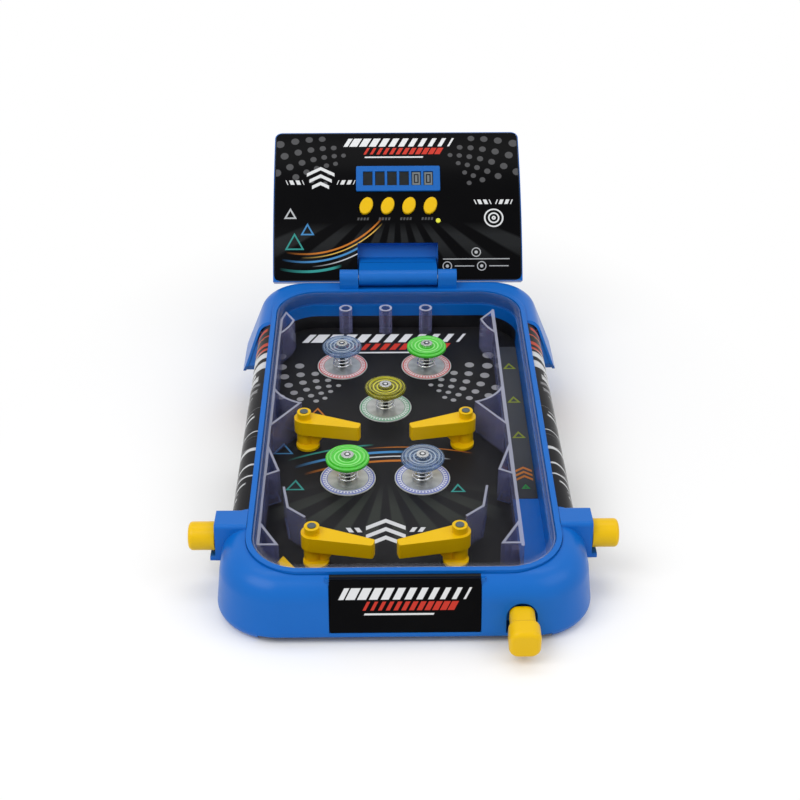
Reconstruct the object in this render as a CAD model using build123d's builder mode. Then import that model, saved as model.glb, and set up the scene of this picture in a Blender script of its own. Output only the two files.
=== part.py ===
"""Tabletop pinball game with a tilted playfield, sprung bumpers, four flippers
driven by two side buttons, a launch plunger and a folding scoreboard.

All sizes are millimetres. X runs to the player's right, Y away from the player,
Z up. Two datum planes carry the work: "case" lies on the table and "deck" is the
tilted top of the playfield. Deck places are written (u, v, w): right, up the
slope, out of the playfield.
"""

import os
from math import atan, cos, degrees, pi, radians, sin, sqrt

from build123d import *

os.makedirs("parts", exist_ok=True)

# Datums
deck_tilt = 6.0
deck_y = -85.31
deck_z = 30.0
tilt_sin = sin(radians(deck_tilt))
tilt_cos = cos(radians(deck_tilt))
case = Plane(origin=(0, deck_y, 0))
deck = Plane(origin=(0, deck_y, deck_z), x_dir=(1, 0, 0), z_dir=(0, -tilt_sin, tilt_cos))
side_view = Plane(origin=(0, deck_y, 0), x_dir=(0, 1, 0), z_dir=(1, 0, 0))

# Case shell
case_half = 133.0
case_front = -171.0
case_rear = 261.0
case_corner = 60.0
case_draft = 6.0
shell_top_w = 35.2
shoulder_round = 14.0
bottom_round = 5.0
shell_wall = 2.6
flange_inset = 12.0
panel_inset = 1.4
seam_gap = 0.3
front_seam_y = -83.0
skirt_height = 5.4
skirt_half = 103.0
apron_half = 135.5
apron_corner = 48.0
apron_shoulder = 20.0
apron_bottom = 8.0
apron_rib = 3.0
hood_half = 138.8
hood_corner = 54.8
hood_front = 60.0
hood_rear = 274.8
hood_low_z = 44.0
hood_draft = 22.0
hood_round = 11.0
hood_back_y = 206.0
panel_end_w = 24.0

# Clear cover and tray
cover_width = 217.0
cover_length = 384.0
cover_mid_v = 44.0
cover_corner = 36.0
cover_top_w = 36.0
cover_thick = 2.0
cover_gap = 0.35
rim_width = 4.4
rim_w = 37.0
ledge_w = 24.0
ledge_thick = 4.0
well_step = 2.5
tray_wall = 2.6
floor_w = -1.0
floor_thick = 2.2
sheet_gap = 0.4

# Playfield furniture
field_u = -13.0
guide_top_w = 30.0
guide_wall = 1.8
guide_boss_dia = 6.0
guide_boss_reach = 4.2
guide_boss_top = 19.0
guide_boss_places = (199.0, 57.0, -20.0, -107.0)
divider_u = 85.0
divider_thick = 2.4
lane_end_v = -118.0
lane_print_v = -25.0
lane_top_v = 198.0
divider_top_v = lane_top_v + 16.0
lane_floor_v = -126.0
post_outer = 11.7
post_inner = 8.0
post_top_w = 25.0
post_v = 226.4
post_pitch = 36.4

# Bumpers, as places on the deck
bumper_places = ((-50.3, 167.5), (24.0, 166.5), (-12.5, 101.7), (-42.7, 2.0), (16.3, 2.0))
plate_dia = 44.0
plate_thick = 0.8
cap_dia = 34.6
cap_under_w = 18.6
cap_top_w = 22.6
bumper_pin_dia = 4.4
bumper_head_dia = 10.0
bumper_wire = 1.2
bumper_coil_low = 15.6
bumper_coil_high = 12.4
bumper_turns = 5

# Flippers
flipper_rest = -16.0
flipper_length = 47.0
flipper_low_w = 13.0
flipper_hub_dia = 13.0
flipper_high_w = 25.5
flipper_boss_w = 31.0
shaft_dia = 6.4
shaft_top_w = 31.6
shaft_fit = 0.05
lower_pivot = (53.8, -95.0)
upper_pivot = (65.5, 51.5)
crank_radius = 8.0
crank_low_w = -7.0
crank_high_w = -4.0
slot_width = 3.3
link_pin = 3.0

# Flipper buttons and push bars
button_travel = 7.0
button_y = -95.0
button_z = 41.5
button_dia = 21.0
button_tip = 156.5
button_face = 137.2
collar_tip = 136.6
stem_dia = 12.0
stem_fit = 0.3
leg_outer = 123.6
leg_thick = 2.6
bar_low_w = -11.0
bar_high_w = -7.8
return_v = -30.0
return_wire = 0.8
return_coil = 4.6
return_turns = 7

# Launch plunger
plunger_u = 81.0
plunger_w = 8.0
plunger_travel = 15.0
knob_dia = 22.0
knob_corner = 7.0
knob_front_v = -198.0
knob_rear_v = -181.0
plunger_stem_dia = 17.6
plunger_stem_corner = 6.0
stem_end_v = -166.6
rod_dia = 8.0
rod_fit = 0.15
bracket_v = -161.6
bracket_thick = 2.6
hammer_v = -127.2
hammer_thick = 3.0
launch_wire = 1.0
launch_coil = 11.0
launch_turns = 7
ball_dia = 12.6
ball_u = 97.5
ball_v = -120.6

# Scoreboard, as places along its curved face from the lower edge
board_foot_y = 258.0
board_foot_z = 89.3
board_lean = 28.6
board_radius = 282.0
board_arc = 154.0
board_half = 116.0
board_wall = 2.4
board_round = 7.0
face_thick = 2.0
face_border = 1.8
notch_half = 37.2
notch_arc = 36.0
notch_depth = 15.0
axis_y = 243.0
axis_z = 99.6
knuckle_radius = 7.3
arm_half = 35.8
ear_inner = 36.4
ear_outer = 53.4
ear_radius = 7.6
hinge_pin_dia = 5.0
arm_low_arc = 10.0
arm_high_arc = 26.5
stop_half = 30.0
rest_gap = 0.05
display_arc = 100.3
display_width = 79.0
display_height = 26.4
display_u = 0.9
digit_pitch = 11.4
digit_width = 9.0
digit_height = 15.0
key_arc = 72.2
key_pitch = 20.0
key_long = 17.4
key_short = 12.0
key_lean = 20.0
key_rise = 2.4
key_travel = 1.5
lamp_arc = 57.4
lamp_u = 38.0
lamp_dia = 4.4
lamp_rise = 0.9
lamp_seat = 1.2
board_depth = 13.0


def deck_point(u, v, w):
    """World place of a deck place."""
    return deck.from_local_coords(Vector(u, v, w))


def deck_spot(u, v, w, turn=0.0):
    """Plane parallel to the deck at a deck place, turned about the deck's normal."""
    along = deck.x_dir * cos(radians(turn)) + deck.y_dir * sin(radians(turn))
    return Plane(origin=deck_point(u, v, w), x_dir=along, z_dir=deck.z_dir)


def floor_height(y):
    """Height above the table of the tray floor's underside at a distance y from the datum."""
    low_w = floor_w - floor_thick
    return deck_z + y * tilt_sin / tilt_cos + low_w / tilt_cos


def cover_outline(grow):
    """Rounded outline of the clear cover, grown all round."""
    with Locations((0, cover_mid_v)):
        RectangleRounded(cover_width + 2 * grow, cover_length + 2 * grow, cover_corner + grow)


def case_outline(inset, half=case_half, corner=case_corner):
    """Rounded outline of the case on the table, inset all round."""
    with Locations((0, (case_front + case_rear) / 2)):
        RectangleRounded(2 * (half - inset), case_rear - case_front - 2 * inset, corner - inset)


def face_place(arc, rise=0.0):
    """Side-view place at a distance along the scoreboard's curved face, raised out of it."""
    angle = radians(board_lean) + arc / board_radius
    radius = board_radius + rise
    bow_y = board_foot_y + board_radius * cos(radians(board_lean))
    bow_z = board_foot_z - board_radius * sin(radians(board_lean))
    return (bow_y - radius * cos(angle), bow_z + radius * sin(angle))


def case_envelope(inset, base):
    """Solid bounded by the case's drafted sides, tilted top and rounded edges."""
    with BuildPart() as body:
        with BuildSketch(case.offset(base)):
            case_outline(inset)
        extrude(amount=150, taper=case_draft)
        split(bisect_by=deck.offset(shell_top_w - inset), keep=Keep.BOTTOM)
        up = Axis((0, 0, 0), tuple(deck.z_dir))
        fillet(body.faces().sort_by(up)[-1].edges(), shoulder_round - inset)
        fillet(body.faces().sort_by(Axis.Z)[0].edges(), bottom_round - inset)
    return body.part


def apron_envelope(inset, base):
    """Solid of the fuller front apron, with its deep shoulder."""
    with BuildPart() as body:
        with BuildSketch(case.offset(base)):
            case_outline(inset, apron_half, apron_corner)
        extrude(amount=150, taper=case_draft)
        split(bisect_by=deck.offset(shell_top_w - inset), keep=Keep.BOTTOM)
        up = Axis((0, 0, 0), tuple(deck.z_dir))
        fillet(body.faces().sort_by(up)[-1].edges(), apron_shoulder - inset)
        fillet(body.faces().sort_by(Axis.Z)[0].edges(), apron_bottom - inset)
    return body.part


def hood_envelope(inset):
    """Solid of the flared hood over the case's rear corners."""
    with BuildPart() as body:
        with BuildSketch(case.offset(hood_low_z)):
            with Locations((0, (hood_front + hood_rear) / 2)):
                RectangleRounded(
                    2 * (hood_half - inset), hood_rear - hood_front - 2 * inset, hood_corner - inset
                )
        extrude(amount=80, taper=hood_draft)
        split(bisect_by=deck.offset(shell_top_w - inset), keep=Keep.BOTTOM)
        up = Axis((0, 0, 0), tuple(deck.z_dir))
        fillet(body.faces().sort_by(up)[-1].edges(), hood_round - inset)
    return body.part


def case_cavity(wall):
    """Inside of a case shell with its open bottom."""
    with BuildPart() as hollow:
        add(case_envelope(wall, shell_wall))
        with BuildSketch(case.offset(-1)):
            case_outline(flange_inset)
        extrude(amount=20)
    return hollow.part


def apron_cavity(wall):
    """Inside of the front apron with its open bottom and a rib along the seam."""
    with BuildPart() as hollow:
        add(apron_envelope(wall, shell_wall))
        with BuildSketch(case.offset(-1)):
            with Locations((0, front_seam_y - apron_rib - 200)):
                Rectangle(400, 400)
        extrude(amount=120, mode=Mode.INTERSECT)
        add(case_cavity(wall))
    return hollow.part


def wing_region(gap):
    """Part of space held by the hood: the rear end and two forward wings."""
    with BuildPart() as region:
        with BuildSketch(side_view.offset(-200)):
            with BuildLine():
                Polyline(
                    (186 - gap, 120),
                    (186 - gap, 92),
                    (158 - gap, 52 - gap),
                    (162 - gap, 46 - gap),
                    (hood_back_y, hood_low_z - gap),
                    (320, hood_low_z - gap),
                    (320, 120),
                    close=True,
                )
            make_face()
        extrude(amount=400)
    return region.part


def back_region(gap):
    """Part of space behind the side panels."""
    with BuildPart() as region:
        with BuildSketch(case.offset(-6)):
            with Locations((0, hood_back_y - gap + 100)):
                Rectangle(400, 200)
        extrude(amount=140)
    return region.part


def tray_room():
    """Space taken by the tray's rim inside the case shell."""
    with BuildPart() as room:
        with BuildSketch(deck.offset(-40)):
            cover_outline(rim_width + 0.2)
        extrude(amount=120)
    return room.part


def biarc_spring(start, axis, across, coil_low, coil_high, pitch, turns, wire):
    """One unbroken coil of round wire on half-turn biarcs, with straight ends."""
    third = axis.cross(across)
    steps = 2 * turns

    def place(k):
        angle = pi * k
        radius = (coil_low + (coil_high - coil_low) * k / steps) / 2
        radial = across * cos(angle) + third * sin(angle)
        return start + radial * radius + axis * (pitch * k / 2)

    def heading(k):
        angle = pi * k
        radius = (coil_low + (coil_high - coil_low) * k / steps) / 2
        spin = across * -sin(angle) + third * cos(angle)
        return (spin * (pi * radius) + axis * (pitch / 2)).normalized()

    first, first_dir = place(0), heading(0)
    last, last_dir = place(steps), heading(steps)
    arcs = []
    with BuildPart() as coil:
        with BuildLine():
            Line(first - first_dir * wire, first)
            for k in range(steps):
                p1, p2 = place(k), place(k + 1)
                t1, t2 = heading(k), heading(k + 1)
                span = p2 - p1
                both = span.dot(t1 + t2)
                turn = 2 * (1 - t1.dot(t2))
                reach = (sqrt(both**2 + turn * span.dot(span)) - both) / turn
                middle = (p1 + p2 + (t1 - t2) * reach) * 0.5
                arcs.append(TangentArc(p1, middle, tangent=t1))
                arcs.append(TangentArc(middle, p2, tangent=p2 - t2 * reach - middle))
            Line(last, last + last_dir * wire)
        with BuildSketch(Plane(origin=first - first_dir * wire, z_dir=first_dir)):
            Circle(wire / 2)
        sweep()

    samples = 8
    points = [arc @ (i / samples) for arc in arcs for i in range(samples)]
    least = min((a - b).length for i, a in enumerate(points) for b in points[i + 2 * samples:])
    print("coil gap", round(least - wire, 2))
    return coil.part


# Base tray with its rim, ledge, shaft bearings, screw posts and plunger bracket
boss_places = ((-92, -118), (92, -60), (-92, 60), (92, 60), (-92, 210), (92, 210))
boss_dia = 9.0
pilot_dia = 3.1
plate_top_z = 5.0
with BuildPart() as base_tray:
    with BuildSketch(deck.offset(floor_w - floor_thick)):
        cover_outline(tray_wall - well_step)
    extrude(amount=ledge_w - floor_w + floor_thick)
    with BuildSketch(deck.offset(ledge_w - ledge_thick)):
        cover_outline(rim_width)
    extrude(amount=rim_w - ledge_w + ledge_thick)
    with BuildSketch(deck.offset(floor_w)):
        cover_outline(-well_step)
    extrude(amount=ledge_w - floor_w, mode=Mode.SUBTRACT)
    with BuildSketch(deck.offset(ledge_w)):
        cover_outline(cover_gap)
    extrude(amount=rim_w - ledge_w, mode=Mode.SUBTRACT)
    with BuildSketch(deck.offset(floor_w)):
        with Locations((plunger_u, (bracket_v - 130) / 2)):
            Rectangle(21, -130 - bracket_v)
    extrude(amount=17.2)
    with BuildSketch(deck.offset(floor_w)):
        cover_outline(-well_step)
    extrude(amount=ledge_w - floor_w, mode=Mode.SUBTRACT)
    with BuildSketch(deck.offset(floor_w)):
        with Locations((plunger_u, (bracket_v + bracket_thick - 130) / 2)):
            Rectangle(16.4, -130 - bracket_v - bracket_thick)
        with Locations((90.5, -137)):
            Rectangle(29, 34)
    extrude(amount=16, mode=Mode.SUBTRACT)
    with BuildSketch(Plane(origin=deck_point(plunger_u, bracket_v - 1, plunger_w), z_dir=deck.y_dir)):
        Circle(rod_dia / 2 + rod_fit)
    extrude(amount=bracket_thick + 2, mode=Mode.SUBTRACT)
    with BuildSketch(deck.offset(floor_w)):
        with Locations((96.2, (lane_print_v - seam_gap + lane_floor_v) / 2)):
            Rectangle(20.4, lane_print_v - seam_gap - lane_floor_v)
    extrude(amount=-floor_w)
    for boss_x, boss_y in boss_places:
        with BuildSketch(case.offset(plate_top_z)):
            with Locations((boss_x, boss_y)):
                Circle(boss_dia / 2)
        extrude(amount=floor_height(boss_y) + 1.2 - plate_top_z)
    with BuildSketch(case.offset(plate_top_z - 1)):
        with Locations(*boss_places):
            Circle(pilot_dia / 2)
    extrude(amount=8, mode=Mode.SUBTRACT)
    with BuildSketch(deck.offset(floor_w - floor_thick - 1)):
        for reach, pivot_v in (lower_pivot, upper_pivot):
            with Locations((field_u - reach, pivot_v), (field_u + reach, pivot_v)):
                Circle(shaft_dia / 2 + shaft_fit)
    extrude(amount=floor_thick + 2, mode=Mode.SUBTRACT)
    with BuildSketch(deck.offset(floor_w - floor_thick - 7)):
        with Locations((field_u - 37, return_v), (field_u + 37, return_v)):
            Rectangle(2.4, 8)
    extrude(amount=7.6)
base_tray.part.label = "base_tray"
export_step(base_tray.part, "parts/base_tray.step")

# Front apron with the button collars, label seat and plunger arch
label_half = 52.6
label_low_z = 9.0
label_high_z = 47.5
label_lean = 11.0
label_thick = 1.2
label_block = 13.0
label_plane = Plane(
    origin=(0, deck_y - 168.6, label_low_z),
    x_dir=(1, 0, 0),
    z_dir=(0, -cos(radians(label_lean)), sin(radians(label_lean))),
)
label_height = (label_high_z - label_low_z) / cos(radians(label_lean))
with BuildPart() as front_apron:
    add(apron_envelope(0, 0))
    for hand in (-1, 1):
        with BuildSketch(Plane(origin=(hand * 113, deck_y + button_y, 0), x_dir=(0, 1, 0), z_dir=(hand, 0, 0))):
            with Locations((0, hand * button_z)):
                RectangleRounded(23, 31, 3)
        extrude(amount=collar_tip - 113)
        with BuildSketch(Plane(origin=(hand * 120, deck_y + button_y, 0), x_dir=(0, 1, 0), z_dir=(hand, 0, 0))):
            with Locations((0, hand * (button_z - 14.4))):
                RectangleRounded(18, 4, 1.5)
        extrude(amount=21)
    add(apron_cavity(shell_wall), mode=Mode.SUBTRACT)
    with BuildSketch(label_plane.offset(-0.7 - label_block)):
        with Locations((0, label_height / 2)):
            Rectangle(2 * label_half + 6, label_height + 1)
    extrude(amount=label_block)
    with BuildSketch(case.offset(-5)):
        with Locations((0, front_seam_y - 200)):
            Rectangle(400, 400)
    extrude(amount=120, mode=Mode.INTERSECT)
    add(tray_room(), mode=Mode.SUBTRACT)
    with BuildSketch(label_plane):
        with Locations((0, label_height / 2)):
            Rectangle(2 * label_half + 0.6, label_height + 0.6)
    extrude(amount=20, mode=Mode.SUBTRACT)
    with BuildSketch(case.offset(-1)):
        with Locations((0, case_front)):
            Rectangle(2 * skirt_half, 30)
    extrude(amount=skirt_height + 1, mode=Mode.SUBTRACT)
    with BuildSketch(Plane(origin=deck_point(plunger_u, -150, plunger_w), x_dir=(1, 0, 0), z_dir=-deck.y_dir)):
        Circle(plunger_stem_dia / 2 + 2)
        with Locations((0, -6)):
            Rectangle(plunger_stem_dia + 4, 12)
    extrude(amount=40, mode=Mode.SUBTRACT)
    for hand in (-1, 1):
        with BuildSketch(Plane(origin=(hand * 129.4, deck_y + button_y, button_z), z_dir=(hand, 0, 0))):
            Circle(button_dia / 2 + stem_fit)
        extrude(amount=20, mode=Mode.SUBTRACT)
        with BuildSketch(Plane(origin=(hand * 118, deck_y + button_y, button_z), z_dir=(hand, 0, 0))):
            Circle(stem_dia / 2 + stem_fit)
        extrude(amount=14, mode=Mode.SUBTRACT)
front_apron.part.label = "front_apron"
export_step(front_apron.part, "parts/front_apron.step")

# Black label plate in the apron's seat
with BuildPart() as label_plate:
    with BuildSketch(label_plane.offset(0.05)):
        with Locations((0, label_height / 2)):
            RectangleRounded(2 * label_half, label_height, 1.5)
    extrude(amount=label_thick)
label_plate.part.label = "label_plate"
export_step(label_plate.part, "parts/label_plate.step")

# Rear cover with its wings, hinge ears and scoreboard stop
axis_point = (axis_y, axis_z)
arm_low = face_place(arm_low_arc, -notch_depth - board_wall / 2)
arm_high = face_place(arm_high_arc, -notch_depth - board_wall / 2)
arm_under = axis_z - knuckle_radius
arm_rise = (arm_low[1] - arm_under) / (arm_low[0] - axis_y)
with BuildPart() as hood_back:
    add(hood_envelope(0))
    add(case_envelope(0, 0))
    add(back_region(0), mode=Mode.INTERSECT)
with BuildPart() as rear_cover:
    add(hood_envelope(0))
    add(hood_envelope(shell_wall), mode=Mode.SUBTRACT)
    add(wing_region(0), mode=Mode.INTERSECT)
    add(hood_back.part)
    add(case_cavity(shell_wall), mode=Mode.SUBTRACT)
    for ear_start in (-ear_outer, ear_inner):
        with BuildSketch(side_view.offset(ear_start)):
            with Locations(axis_point):
                Circle(ear_radius)
            with BuildLine():
                Polyline(
                    (axis_y - ear_radius, axis_z),
                    (axis_y + ear_radius, axis_z),
                    (axis_y + ear_radius - 1, 84.5),
                    (axis_y - ear_radius - 1, 88.6),
                    close=True,
                )
            make_face()
        extrude(amount=ear_outer - ear_inner)
    with BuildSketch(side_view.offset(-stop_half)):
        with BuildLine():
            Polyline(
                (axis_y + 5.5, 84),
                (axis_y + 5.5, arm_under + 5.5 * arm_rise - rest_gap),
                (axis_y + 12, arm_under + 12 * arm_rise - rest_gap),
                (axis_y + 12, 80),
                close=True,
            )
        make_face()
    extrude(amount=2 * stop_half)
    add(tray_room(), mode=Mode.SUBTRACT)
    add(case_cavity(shell_wall), mode=Mode.SUBTRACT)
    with BuildSketch(side_view.offset(-60)):
        with Locations(axis_point):
            Circle(hinge_pin_dia / 2 + shaft_fit)
    extrude(amount=120, mode=Mode.SUBTRACT)
rear_cover.part.label = "rear_cover"
export_step(rear_cover.part, "parts/rear_cover.step")

# Side panels between apron and rear, cut away where they pass under the hood
with BuildPart() as hood_shade:
    add(wing_region(seam_gap))
    with BuildSketch(deck.offset(-60)):
        with Locations((0, 200)):
            Rectangle(400, 400)
    extrude(amount=60 + panel_end_w, mode=Mode.SUBTRACT)
for hand, name in ((-1, "side_panel_left"), (1, "side_panel_right")):
    with BuildPart() as side_panel:
        add(case_envelope(panel_inset, 0))
        add(case_cavity(shell_wall + panel_inset), mode=Mode.SUBTRACT)
        add(back_region(seam_gap), mode=Mode.SUBTRACT)
        add(hood_shade.part, mode=Mode.SUBTRACT)
        with BuildSketch(case.offset(-5)):
            with Locations((hand * 200, front_seam_y + seam_gap + 150)):
                Rectangle(300, 300)
        extrude(amount=120, mode=Mode.INTERSECT)
        add(tray_room(), mode=Mode.SUBTRACT)
    side_panel.part.label = name
    export_step(side_panel.part, "parts/" + name + ".step")

# Bottom plate lying on the shells' inner flanges
bottom_inset = 6.2
screw_head = 6.0
with BuildPart() as bottom_plate:
    with BuildSketch(case.offset(shell_wall)):
        case_outline(bottom_inset)
    extrude(amount=plate_top_z - shell_wall)
    with BuildSketch(case.offset(shell_wall - 1)):
        with Locations(*boss_places):
            Circle(1.7)
    extrude(amount=5, mode=Mode.SUBTRACT)
bottom_plate.part.label = "bottom_plate"
export_step(bottom_plate.part, "parts/bottom_plate.step")

# Case screws from below
with BuildPart() as case_screws:
    for boss_x, boss_y in boss_places:
        with BuildSketch(case.offset(shell_wall - 1.8)):
            with Locations((boss_x, boss_y)):
                Circle(screw_head / 2)
        extrude(amount=1.8)
        with BuildSketch(case.offset(shell_wall)):
            with Locations((boss_x, boss_y)):
                Circle(1.5)
        extrude(amount=8)
    with BuildSketch(case.offset(shell_wall - 1.8)):
        with Locations(*boss_places):
            Rectangle(3.6, 0.8)
            Rectangle(0.8, 3.6)
    extrude(amount=0.9, mode=Mode.SUBTRACT)
case_screws.part.label = "case_screws"
export_step(case_screws.part, "parts/case_screws.step")

# Playfield sheet and the launch lane's printed strip
strip_left = divider_u + 0.6
strip_right = cover_width / 2 - well_step - sheet_gap
with BuildPart() as playfield:
    with BuildSketch(deck.offset(floor_w)):
        cover_outline(-well_step - sheet_gap)
        with Locations((strip_left + 20, (lane_top_v + sheet_gap - 173) / 2)):
            Rectangle(40, lane_top_v + sheet_gap + 173, mode=Mode.SUBTRACT)
        with Locations((90.5, -137)):
            Rectangle(29.6, 35, mode=Mode.SUBTRACT)
        for reach, pivot_v in (lower_pivot, upper_pivot):
            with Locations((field_u - reach, pivot_v), (field_u + reach, pivot_v)):
                Circle(shaft_dia / 2 + 0.4, mode=Mode.SUBTRACT)
    extrude(amount=-floor_w)
playfield.part.label = "playfield"
export_step(playfield.part, "parts/playfield.step")

with BuildPart() as lane_strip:
    with BuildSketch(deck.offset(floor_w)):
        with Locations(((strip_left + strip_right + 0.4) / 2, (lane_print_v + lane_top_v) / 2)):
            Rectangle(strip_right - strip_left - 0.4, lane_top_v - lane_print_v)
    extrude(amount=-floor_w)
lane_strip.part.label = "lane_strip"
export_step(lane_strip.part, "parts/lane_strip.step")

# Clear cover
with BuildPart() as clear_cover:
    with BuildSketch(deck.offset(ledge_w)):
        cover_outline(0)
    extrude(amount=cover_top_w - ledge_w)
    fillet(clear_cover.faces().sort_by(Axis((0, 0, 0), tuple(deck.z_dir)))[-1].edges(), 1.4)
    with BuildSketch(deck.offset(ledge_w)):
        cover_outline(-cover_thick)
    extrude(amount=cover_top_w - ledge_w - cover_thick, mode=Mode.SUBTRACT)
clear_cover.part.label = "clear_cover"
export_step(clear_cover.part, "parts/clear_cover.step")


def guide_wedges(base_u, hand, crown):
    """Four hollow wedges of a side guide; hand is the way their tips point."""
    with BuildPart() as wedges:
        with BuildSketch(deck):
            with BuildLine():
                Polyline(
                    (base_u, 173),
                    (base_u, 199),
                    (base_u + hand * crown, 213),
                    (base_u + hand * 12.4, 197.5),
                )
                ThreePointArc(
                    (base_u + hand * 12.4, 197.5),
                    (base_u + hand * 8.6, 186),
                    (base_u, 173),
                )
            make_face()
            offset(amount=-guide_wall, kind=Kind.INTERSECTION, mode=Mode.SUBTRACT)
        extrude(amount=guide_top_w)
        with BuildSketch(deck):
            with BuildLine():
                ThreePointArc(
                    (base_u, 92),
                    (base_u + hand * 9, 76),
                    (base_u + hand * 24.4, 66.5),
                )
                Line((base_u + hand * 24.4, 66.5), (base_u, 32))
                Line((base_u, 32), (base_u, 92))
            make_face()
            offset(amount=-guide_wall, kind=Kind.INTERSECTION, mode=Mode.SUBTRACT)
        extrude(amount=guide_top_w)
        for corners in (
            ((base_u, 10), (base_u + hand * 11.6, -26.5), (base_u, -33)),
            ((base_u, -87), (base_u + hand * 15.6, -115), (base_u, -115)),
        ):
            with BuildSketch(deck):
                with BuildLine():
                    Polyline(*corners, close=True)
                make_face()
                offset(amount=-guide_wall, kind=Kind.INTERSECTION, mode=Mode.SUBTRACT)
            extrude(amount=guide_top_w)
        with BuildSketch(deck):
            for guide_boss_v in guide_boss_places:
                with Locations((base_u + hand * guide_boss_reach, guide_boss_v)):
                    Circle(guide_boss_dia / 2)
        extrude(amount=guide_boss_top)
    return wedges.part


# Clear guides on the left wall
left_base = -cover_width / 2 + well_step + 0.3
with BuildPart() as left_guides:
    with BuildSketch(deck):
        with Locations((left_base + guide_wall / 2, 43)):
            Rectangle(guide_wall, 314)
    extrude(amount=guide_top_w)
    add(guide_wedges(left_base + 0.4, 1, 3.8))
left_guides.part.label = "left_guides"
export_step(left_guides.part, "parts/left_guides.step")

# Clear divider between playfield and launch lane, with its wedges
with BuildPart() as lane_divider:
    with BuildSketch(deck):
        with Locations((divider_u, (divider_top_v + lane_end_v) / 2)):
            SlotOverall(divider_top_v - lane_end_v, divider_thick, rotation=90)
    extrude(amount=guide_top_w)
    add(guide_wedges(divider_u, -1, 0.6))
lane_divider.part.label = "lane_divider"
export_step(lane_divider.part, "parts/lane_divider.step")

# Bent guides above the lower flippers
for hand, name in ((-1, "inlane_guide_left"), (1, "inlane_guide_right")):
    with BuildPart() as inlane_guide:
        with BuildSketch(deck):
            with BuildLine() as bend:
                Polyline(
                    (field_u + hand * 76.6, -46.6),
                    (field_u + hand * 72.4, -71.4),
                    (field_u + hand * 59.2, -83.0),
                )
            trace(line_width=guide_wall)
        extrude(amount=guide_top_w)
    inlane_guide.part.label = name
    export_step(inlane_guide.part, "parts/" + name + ".step")

# Three clear posts at the top lanes
with BuildPart() as lane_posts:
    with BuildSketch(deck):
        with GridLocations(post_pitch, 1, 3, 1):
            with Locations((-11.7, post_v)):
                Circle(post_outer / 2)
                Circle(post_inner / 2, mode=Mode.SUBTRACT)
    extrude(amount=post_top_w)
lane_posts.part.label = "lane_posts"
export_step(lane_posts.part, "parts/lane_posts.step")

# Yellow rail that leads lost balls across to the launch lane
with BuildPart() as drain_rail:
    with BuildSketch(deck):
        with BuildLine():
            Polyline((-88, -101), (-80, -113), (-66, -125), (60, -139), (60, -142))
            Line((60, -142), (-69, -132))
            Polyline((-69, -132), (-86, -118), (-92, -108), (-88, -101))
        make_face()
    extrude(amount=8)
drain_rail.part.label = "drain_rail"
export_step(drain_rail.part, "parts/drain_rail.step")

# Bumper plates and headed pins
with BuildPart() as bumper_plates:
    with BuildSketch(deck):
        with Locations(*bumper_places):
            Circle(plate_dia / 2)
            Circle(bumper_pin_dia / 2 + shaft_fit, mode=Mode.SUBTRACT)
    extrude(amount=plate_thick)
bumper_plates.part.label = "bumper_plates"
export_step(bumper_plates.part, "parts/bumper_plates.step")

with BuildPart() as bumper_pins:
    with BuildSketch(deck):
        with Locations(*bumper_places):
            Circle(bumper_pin_dia / 2)
    extrude(amount=cap_top_w)
    with BuildSketch(deck.offset(cap_top_w)):
        with Locations(*bumper_places):
            Circle(bumper_head_dia / 2)
    extrude(amount=1.8)
bumper_pins.part.label = "bumper_pins"
export_step(bumper_pins.part, "parts/bumper_pins.step")

# Bumper caps, ridged like a target, and the coils that carry them
ridge_count = 4
ridge_pitch = 2.7
for number, (bumper_u, bumper_v) in enumerate(bumper_places, start=1):
    spot = deck_spot(bumper_u, bumper_v, 0)
    with BuildPart() as bumper_cap:
        with BuildSketch(spot.offset(cap_under_w)):
            Circle(cap_dia / 2)
        extrude(amount=cap_top_w - cap_under_w - 1.0)
        fillet(bumper_cap.edges(), 0.9)
        with BuildSketch(spot.offset(cap_top_w - 1.2)):
            for ring in range(ridge_count):
                Circle(6.6 + ridge_pitch * ring)
                Circle(5.2 + ridge_pitch * ring, mode=Mode.SUBTRACT)
            Circle(5.6)
        extrude(amount=1.2)
        with BuildSketch(spot):
            Circle(bumper_pin_dia / 2 + shaft_fit)
        extrude(amount=40, mode=Mode.SUBTRACT)
    cap_name = "bumper_cap_" + str(number)
    bumper_cap.part.label = cap_name
    export_step(bumper_cap.part, "parts/" + cap_name + ".step")

    coil_low_w = plate_thick + bumper_wire / 2 + 0.25
    coil_high_w = cap_under_w - bumper_wire / 2 - 0.25
    bumper_spring = biarc_spring(
        deck_point(bumper_u, bumper_v, coil_low_w),
        deck.z_dir,
        deck.x_dir,
        bumper_coil_low,
        bumper_coil_high,
        (coil_high_w - coil_low_w) / bumper_turns,
        bumper_turns,
        bumper_wire,
    )
    coil_name = "bumper_spring_" + str(number)
    bumper_spring.label = coil_name
    export_step(bumper_spring, "parts/" + coil_name + ".step")

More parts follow.
